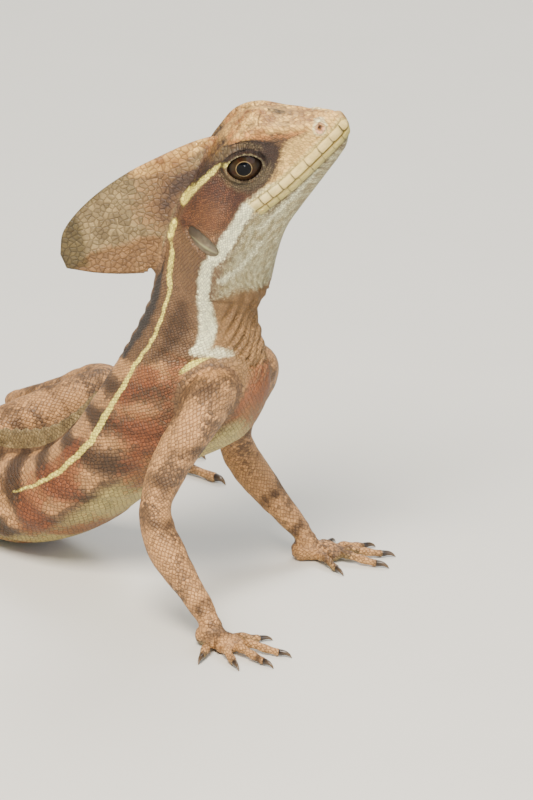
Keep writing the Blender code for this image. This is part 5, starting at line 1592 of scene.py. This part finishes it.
@dataclass(frozen=True)
class LizardHide:
    """Living reptile skin: thin keratin scales over soft skin, dry, with a faint sheen.

    Keratin has an IOR near 1.55; each scale is a shallow dome with a darker joint round it.
    """

    base: str = "#5b422d"
    warm: str = "#80603f"
    joint: str = "#5c4735"
    roughness: float = 0.56
    ior: float = 1.5

    def net(self, desk: NodeDesk, lay: Socket, warp: Socket, kind: ScaleNet) -> tuple[Socket, ...]:
        """Cells of one kind of scale.

        Args:
            desk: The material's tree.
            lay: Coordinates on the skin in widths of a scale.
            warp: A noise that bends the rows.
            kind: The scales' sizes.

        Returns:
            A random value for each scale, its height in metres and the way to its edge.
        """
        moved = desk.add("bend", warp, (kind.warp,) * 3, lay)
        turn = math.radians(kind.turn)
        moved = desk.add("turn", moved, (0.0, 0.0, turn), (kind.density,) * 3)
        cell = desk.add("cells", moved, 1.0, kind.randomness, **FLAT)
        edge = desk.add("cells", moved, 1.0, kind.randomness, **FLAT, **BORDERS)
        inside = desk.add("from", moved, cell.node.outputs["Position"])
        rise = desk.add("dot", inside, (math.cos(turn), math.sin(turn), 0.0))
        dome = desk.add("ease", edge, 0.0, 0.26, 0.0, 1.0)
        height = desk.add("times", desk.add("times_plus", rise, kind.overlap, dome), kind.height)
        edge = desk.add("times", edge, GROOVE / kind.joint)
        return desk.add("red", cell.node.outputs["Color"]), height, edge

    def tones(self, desk: NodeDesk, chance: Socket, lay: Socket, broad: Socket) -> dict[str, Socket]:
        """Colours of the markings that vary from scale to scale or run in streaks."""
        long = desk.add("turn", lay, (0.0, 0.0, 0.0), (0.4, 0.9, 0.0))
        streak = desk.add("ease", desk.add("flat_noise", long, 0.8, 4.0), 0.34, 0.66)
        jaw = desk.add("mix", streak, "#a2956a", "#cfc99e")
        patch = desk.add("times_plus", chance, 0.45, desk.add("range", broad, 0.35, 0.65))
        tones = {"jaw": jaw}
        for name, low, high, dark, light in (
                ("crown", 0.1, 1.3, "#8c5c30", "#e8bb6c"), ("sail", -0.2, 1.7, "#675334", "#a08a5e"),
                ("cheek", -0.2, 1.8, "#3c2116", "#714429")):
            tones[name] = desk.add("mix", desk.add("range", patch, low, high), dark, light)
        tones["lip"] = desk.add("mix", patch, "#ab9650", "#d4bd78")
        return tones

    def build(self) -> bpy.types.Material:
        """Colours by markings with scale-sharp borders, and the relief of the scales."""
        desk = NodeDesk("Keratin_scaled_hide")
        lay = desk.add("field", attribute_name="lay")
        seam = desk.add("split", lay).node.outputs[2]
        zones = desk.add("field", attribute_name="zones")
        granular, plated, plain = desk.add("split", zones).node.outputs
        place = desk.add("place")
        broad = desk.add("noise", place, 260.0, 3.0)
        fine = desk.add("noise", place, 1400.0, 2.0)
        warp = desk.add("flat_noise", lay, 0.45, 2.0).node.outputs["Color"]
        warp = desk.add("from", warp, (0.5, 0.5, 0.5))
        scales = self.net(desk, lay, warp, Scales.OVERLAPPING.value)
        for share, kind in ((granular, Scales.GRANULAR), (plated, Scales.PLATED)):
            other = self.net(desk, lay, warp, kind.value)
            scales = [desk.add("blend", share, a, b) for a, b in zip(scales, other)]
        cell = desk.add("cells", place, 950.0, 0.8)
        around = desk.add("cells", place, 950.0, 0.8, **BORDERS)
        bead = desk.add("ease", around, 0.0, 0.26, 0.0, 0.00011)
        other = (desk.add("red", cell.node.outputs["Color"]), bead, around)
        chance, height, edge = (desk.add("blend", seam, a, b) for a, b in zip(scales, other))

        colour = desk.add("mix", broad, self.base, self.warm)
        jitter = desk.add("less", chance, 0.5)
        ragged = desk.add("times_plus", desk.add("less", fine, 0.5), 1.6, jitter)
        tones = self.tones(desk, chance, lay, broad)
        for index in range(0, len(MARKS), 3):
            depths = desk.add("split", desk.add("field", attribute_name=f"marks_{index // 3}"))
            for depth, mark in zip(depths.node.outputs, MARKS[index:index + 3]):
                depth = desk.add("times_plus", ragged, mark.ragged, depth)
                share = desk.add("ease", depth, -mark.softness, mark.softness, 0.0, mark.amount)
                colour = desk.add("mix", share, colour, tones.get(mark.name, mark.colour))
        tint = desk.add("range", chance, 0.0, 1.0, 0.76, 1.18)
        mottle = desk.add("range", fine, 0.25, 0.75, 0.88, 1.08)
        shade = desk.add("blend", plain, desk.add("times", tint, mottle), 1.0)
        colour = desk.add("stain", 1.0, colour, shade)
        groove = desk.add("ease", edge, 0.0, GROOVE, 0.65, 0.0)
        groove = desk.add("times", groove, desk.add("times_plus", plated, -0.3, 1.0))
        bare = desk.add("times_plus", plain, -1.0, 1.0)
        groove = desk.add("times", groove, bare)
        colour = desk.add("mix", groove, colour, desk.add("stain", 1.0, colour, self.joint))
        height = desk.add("times_plus", fine, 0.00003, desk.add("times", height, bare))
        bump = desk.add("bump", 1.0, 1.0, height)
        rough = desk.add("range", chance, 0.0, 1.0, self.roughness - 0.07, self.roughness + 0.09)
        return desk.finish(desk.add(
            "surface", colour, rough, self.ior, Normal=bump, Specular_IOR_Level=0.45,
            Subsurface_Weight=0.03, Subsurface_Radius=(1.0, 0.5, 0.3), Subsurface_Scale=0.0012))


@dataclass(frozen=True)
class WetEye:
    """A living eye: dark round pupil, thin pale ring, brown iris, under a wet cornea (IOR 1.376)."""

    pupil: float = 1.84
    ring: float = 2.0
    iris: float = 3.5

    def build(self) -> bpy.types.Material:
        """Rings of colour by the distance from the eye's axis, under a clear wet coat."""
        desk = NodeDesk("Wet_cornea_over_brown_iris")
        radius = desk.add("number", attribute_name="axis_gap")
        spokes = desk.add("field", attribute_name="spoke")
        streak = desk.add("flat_noise", spokes, 1.0, 3.0)
        broad = desk.add("flat_noise", spokes, 0.16, 1.0)
        iris = desk.add("mix", streak, "#120a06", "#3d2210")
        iris = desk.add("mix", desk.add("range", broad, 0.42, 0.6, 0.0, 0.5), iris, "#2e2a1a")
        iris = desk.add("mix", desk.add("ease", radius, 2.6, self.iris, 0.0, 0.9), iris, "#150e0a")
        ringed = desk.add("range", radius, self.ring - 0.07, self.ring + 0.07, 0.75, 0.0)
        colour = desk.add("mix", ringed, iris, "#8a7550")
        dark = desk.add("range", radius, self.pupil - 0.06, self.pupil + 0.06, 1.0, 0.0)
        colour = desk.add("mix", dark, colour, "#030408")
        return desk.finish(desk.add("surface", colour, 0.3, 1.376, Specular_IOR_Level=0.0,
                                    Coat_Weight=0.45, Coat_Roughness=0.02, Coat_IOR=1.376))


@dataclass(frozen=True)
class EardrumSkin:
    """Tympanum: thin stretched membrane, satin, thicker and paler along the bone behind it."""

    def build(self) -> bpy.types.Material:
        """Grey brown membrane with a pale ridge, and painted shade over its upper part, in the pocket under
        the cup's rim.
        """
        desk = NodeDesk("Tympanic_membrane")
        _, tall, ridge = desk.add("split", desk.add("field", attribute_name="drum")).node.outputs
        cloud = desk.add("noise", desk.add("place"), 900.0, 3.0)
        colour = desk.add("mix", cloud, "#342b21", "#7a6e59")
        # painted shade: darker towards the top of the drum, under the upper wall of the ear's cup
        colour = desk.add("mix", desk.add("ease", tall, 0.0, 3.4, 0.0, 0.85), colour, "#30261c")
        colour = desk.add("mix", desk.add("ease", ridge, -0.3, 0.35, 0.0, 0.75), colour, "#95946a")
        return desk.finish(desk.add("surface", colour, 0.4, 1.45, Subsurface_Weight=0.05,
                                    Subsurface_Scale=0.001))


@dataclass(frozen=True)
class ClawHorn:
    """Claw: dense keratin horn, dark at the root and translucent brown at the worn tip."""

    def build(self) -> bpy.types.Material:
        """Dark brown horn with growth lines, lighter towards the tip."""
        desk = NodeDesk("Claw_horn")
        tip = desk.add("number", attribute_name="tip")
        grain = desk.add("noise", desk.add("place"), 1500.0, 2.0)
        share = desk.add("range", tip, 0.1, 1.0, 0.0, 0.8)
        colour = desk.add("stain", 0.5, desk.add("mix", share, "#2c2018", "#7d6243"), grain)
        bump = desk.add("bump", 0.4, 0.00005, grain)
        return desk.finish(desk.add("surface", colour, 0.32, 1.55, Normal=bump))


@dataclass(frozen=True)
class StudioPaper:
    """Plain pale seamless paper for the floor."""

    colour: str = "#dcdbd5"

    def build(self) -> bpy.types.Material:
        """Matt paper with the faintest mottle."""
        desk = NodeDesk("Pale_studio_paper")
        cloud = desk.add("noise", desk.add("place"), 30.0, 4.0)
        share = desk.add("range", cloud, 0.3, 0.7, 0.0, 0.06)
        colour = desk.add("mix", share, self.colour, "#b9b8b0")
        return desk.finish(desk.add("surface", colour, 0.85))


# Eyes, eardrums and claws


@dataclass
class Eyes:
    """Both eyeballs."""

    form: BodyForm
    eye: EyeForm = EyeForm()

    def build(self, side: Side) -> bpy.types.Object:
        """Ellipsoid on a polar grid round its outward axis, with a low cornea over the pupil."""
        tilt = np.concatenate([np.linspace(0.0, 1.2, 52)[1:], np.linspace(1.2, math.pi, 24)[1:-1]])[:, None]
        turn = np.linspace(0.0, 2 * math.pi, 72, endpoint=False)[None]
        gap = self.eye.radius * np.sin(tilt)
        x, y = gap * np.cos(turn), gap * np.sin(turn)
        out = self.eye.depth * np.cos(tilt) + 0.22 * hill(gap, 2.6) * (tilt < 1.5) + 0 * turn
        axes = self.form.head_axes(0.0, side.value)
        f, u, o = self.eye.centre
        centre = self.form.head_point(f, side.value * o, u)
        rings = centre + x[..., None] * axes[0] + y[..., None] * axes[1] + out[..., None] * axes[2]
        gap = np.where(tilt < math.pi / 2, gap, 2 * self.eye.radius)
        fields = {"gap": gap, "x": 6.6 * np.cos(turn), "y": 6.6 * np.sin(turn)}
        sheet = even_sheet("eye", rings, fields)
        sheet.fields["gap"][-2] = 0.0
        sheet.fields["in"] = 0.1 * sheet.fields["gap"]
        return make_piece(f"eyeball_{side.word}", sheet, {"axis_gap": ("gap",), "spoke": ("x", "y", "in")})


def quadric(a: Array, b: Array) -> Array:
    """The six terms 1, a, b, a², ab and b²."""
    return np.stack([1 + 0 * a, a, b, a * a, a * b, b * b], axis=-1)


@dataclass
class Eardrums:
    """Both eardrums, just under the skin's surface at the bottom of the ears' cups."""

    form: BodyForm
    relief: HeadRelief = field(default_factory=HeadRelief)
    sunk: float = 0.75

    def skin_depth(self, f: Array, u: Array) -> Array:
        """How far out the plain skin lies: a quadric through its points round the ear."""
        at = np.linspace(36.0, 56.0, 40)
        plane = self.form.half_rings(at, np.broadcast_to(np.linspace(2.0, 7.0, 60), (40, 60)))
        skin_f, side, skin_u = (x.ravel() for x in plane_to_head(plane))
        near = np.hypot(skin_f - self.relief.ear[0], skin_u - self.relief.ear[1]) < 6.5
        found = np.linalg.lstsq(quadric(skin_f[near], skin_u[near]), side[near], rcond=None)[0]
        return quadric(f, u) @ found

    def build(self, side: Side) -> bpy.types.Object:
        """Closed lens: rings of an ellipse, slightly hollow in front, with a slanting ridge."""
        reach = np.concatenate([np.linspace(0.0, 1.0, 22)[1:], np.linspace(1.0, 0.0, 6)[1:-1]])[:, None]
        front = np.concatenate([np.ones(21), np.zeros(4)])[:, None]
        turn = np.linspace(0.0, 2 * math.pi, 48, endpoint=False)[None]
        half_long, half_tall = self.relief.ear_half
        long, tall = 0.99 * half_long * reach * np.cos(turn), 0.99 * half_tall * reach * np.sin(turn)
        f, u = turned(long, tall, self.relief.ear_lean)
        f, u = f + self.relief.ear[0], u + self.relief.ear[1]
        slant = long + 0.22 * tall + 0.5
        ridge = 0.34 - np.abs(slant) - 0.1 * np.abs(tall + 1.0)
        depth = (0.22 * hill(slant, 0.5) - 0.22 * hill(tall - 2.4, 1.5)) * (1 - reach**4)
        out = self.skin_depth(f, u) + np.where(front > 0, depth, -0.8) - self.sunk
        rings = self.form.head_point(f, side.value * out, u)
        sheet = even_sheet("drum", rings, {"x": long, "y": tall, "ridge": ridge})
        return make_piece(f"eardrum_{side.word}", sheet, {"drum": ("x", "y", "ridge")})


def claws_piece(sheets: list[Sheet]) -> bpy.types.Object:
    """All the claws as one piece."""
    base = np.concatenate([[0], np.cumsum([len(x.points) for x in sheets])])
    whole = Sheet("claws", np.concatenate([x.points for x in sheets]),
                  np.concatenate([x.quads + b for x, b in zip(sheets, base)]),
                  np.concatenate([x.tris + b for x, b in zip(sheets, base)]),
                  {"tip": np.concatenate([x.fields["tip"] for x in sheets])})
    return make_piece("claws", whole, {"tip": ("tip",)})


# Studio and camera


@dataclass(frozen=True)
class Studio:
    """The camera at the angle of view, a pale floor and soft lights."""

    azimuth: float = math.radians(50.0)
    elevation: float = math.radians(20.0)
    distance: float = 2.2
    pixel: float = 0.24
    frame: tuple[int, int] = (533, 800)
    snout_pixel: tuple[float, float] = (344.0, 117.0)

    def axes(self) -> tuple[Vector, Vector, Vector]:
        """The camera's right, up and back."""
        a, e = self.azimuth, self.elevation
        right = Vector((math.cos(a), math.sin(a), 0.0))
        back = Vector((math.sin(a) * math.cos(e), -math.cos(a) * math.cos(e), math.sin(e)))
        return right, back.cross(right), back

    def camera(self, snout: Array) -> None:
        """Long lens whose picture holds the snout at its place and the head at its size."""
        right, up, back = self.axes()
        pixel = self.pixel * TO_METRES
        centre = (Vector(snout * TO_METRES)
                  + right * (self.frame[0] / 2 - self.snout_pixel[0]) * pixel
                  - up * (self.frame[1] / 2 - self.snout_pixel[1]) * pixel)
        data = bpy.data.cameras.new("camera")
        data.sensor_fit = "HORIZONTAL"
        data.sensor_width = 36.0
        data.lens = 36.0 * self.distance / (self.frame[0] * pixel)
        data.clip_start, data.clip_end = 0.1, 20.0
        thing = place_in_scene("camera", data)
        rotation = Matrix((right, up, back)).transposed().to_4x4()
        thing.matrix_world = Matrix.Translation(centre + back * self.distance) @ rotation
        bpy.context.scene.camera = thing

    def light(self, name: str, place: Vector, aim: Vector, size: float, power: float, colour: str,
              spread: float = math.pi) -> None:
        """One soft square light turned towards its aim."""
        data = bpy.data.lights.new(name, "AREA")
        data.shape, data.size, data.energy, data.spread = "SQUARE", size, power, spread
        data.color = linear(colour)[:3]
        thing = place_in_scene(name, data)
        thing.location = place
        thing.rotation_euler = (place - aim).to_track_quat("Z", "Y").to_euler()

    def build(self, snout: Array) -> None:
        """Camera, floor, lights and a pale surround."""
        self.camera(snout)
        right, _, back = self.axes()
        aim = Vector(snout * TO_METRES) - Vector((0, 0, 0.03))
        level = Vector((back.x, back.y, 0)).normalized()
        above = aim + level * 0.75 - right * 0.25 + Vector((0, 0, 1.0))
        self.light("key", above, aim, 0.55, 38.0, "#fff4e4")
        self.light("fill", aim + level * 0.9 + right * 0.8 + Vector((0, 0, 0.3)), aim, 0.9, 9.0, "#eef4ff")
        self.light("rim", aim - level * 0.8 + right * 0.2 + Vector((0, 0, 0.9)), aim, 0.6, 9.0, "#ffffff")
        catch = Vector((0.729, -0.432, -0.10)).normalized() * 0.6
        self.light("catch", aim + catch, aim, 0.05, 0.006, "#ffffff", 0.2)
        world = bpy.data.worlds.new("studio")
        world.use_nodes = True
        surround = world.node_tree.nodes["Background"].inputs
        surround["Color"].default_value = linear("#e9ebe8")
        surround["Strength"].default_value = 0.58
        bpy.context.scene.world = world
        mesh = bpy.data.meshes.new("floor")
        half = 3.0
        mesh.from_pydata([(-half, -half, 0), (half, -half, 0), (half, half, 0), (-half, half, 0)], [],
                         [(0, 1, 2, 3)])
        mesh.materials.append(StudioPaper().build())
        place_in_scene("floor", mesh)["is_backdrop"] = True


REPLACED = {
    "head": ("head", "lower_jaw"),
    "neck": ("neck", "torso"),
    "tail": ("tail_1", "tail_2", "tail_3", "tail_4"),
    "head_crest": ("head_crest",),
    "dorsal_crest": ("dorsal_crest",),
    "tail_crest": ("tail_crest",),
    "arm_left": ("upper_arm_left", "forearm_left", "hand_left"),
    "arm_right": ("upper_arm_right", "forearm_right", "hand_right"),
    "leg_left": ("thigh_left", "shin_left", "foot_left"),
    "leg_right": ("thigh_right", "shin_right", "foot_right"),
}


def corners() -> list:
    """The whole object's box as plain lists."""
    return [list(map(float, corner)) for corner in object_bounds()]


def main() -> None:
    """Build every piece around the frame."""
    logging.basicConfig(level=logging.INFO, format="%(message)s")
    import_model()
    form = BodyForm()
    eye = EyeForm()
    low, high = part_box("eye_right")
    middle = 0.5 * (np.array(low) + np.array(high)) / TO_METRES
    form.shift = middle - form.head_point(eye.centre[0], -eye.centre[2], eye.centre[1])
    Studio().build(form.head_point(0.0, 0.0, 0.0))

    tubes = TubeMaker(form)
    skin = BodySkin(form)
    sheets = [skin.build(), HeadCrest(form).build()]
    fin_start = float(form.knots[len(HEAD_STATIONS) + 4])
    sheets.append(RayedFin(form, "dorsal_crest", fin_start, form.hip - 2.0, 15, True).build())
    fin_end = form.share_of_tail(0.24) - 1.0
    sheets.append(RayedFin(form, "tail_crest", form.tail_start + 6.0, fin_end, 16, False).build())
    claws = []
    for side in Side:
        for arm in (True, False):
            limb = make_limb(tubes, side, arm)
            sheets += limb.build()
            claws += limb.claws()
    joiner = SkinJoiner(sheets)
    joiner.join()
    joiner.match()
    joiner.smooth()
    cuts = {"head": (-1.0, skin.head_rows_end), "neck": (skin.head_rows_end, skin.neck_rows_end),
            "tail": (skin.neck_rows_end, 9999.0)}
    hide = LizardHide().build()
    for name, piece in joiner.part_pieces(cuts):
        piece.data.materials.append(hide)
        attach(piece, "root")
        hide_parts(*REPLACED[name])

    wet, drum = WetEye().build(), EardrumSkin().build()
    for side in Side:
        for thing, finish, node, slot in ((Eyes(form).build(side), wet, f"eye_{side.word}", "eye"),
                                          (Eardrums(form).build(side), drum, f"ear_{side.word}", "eardrum")):
            thing.data.materials.append(finish)
            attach(thing, "root")
            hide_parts(node)
            LOG.info("%s: %d faces", thing.name, len(thing.data.polygons))
    horn = claws_piece(claws)
    horn.data.materials.append(ClawHorn().build())
    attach(horn, "root")


if __name__ == "__main__":
    main()
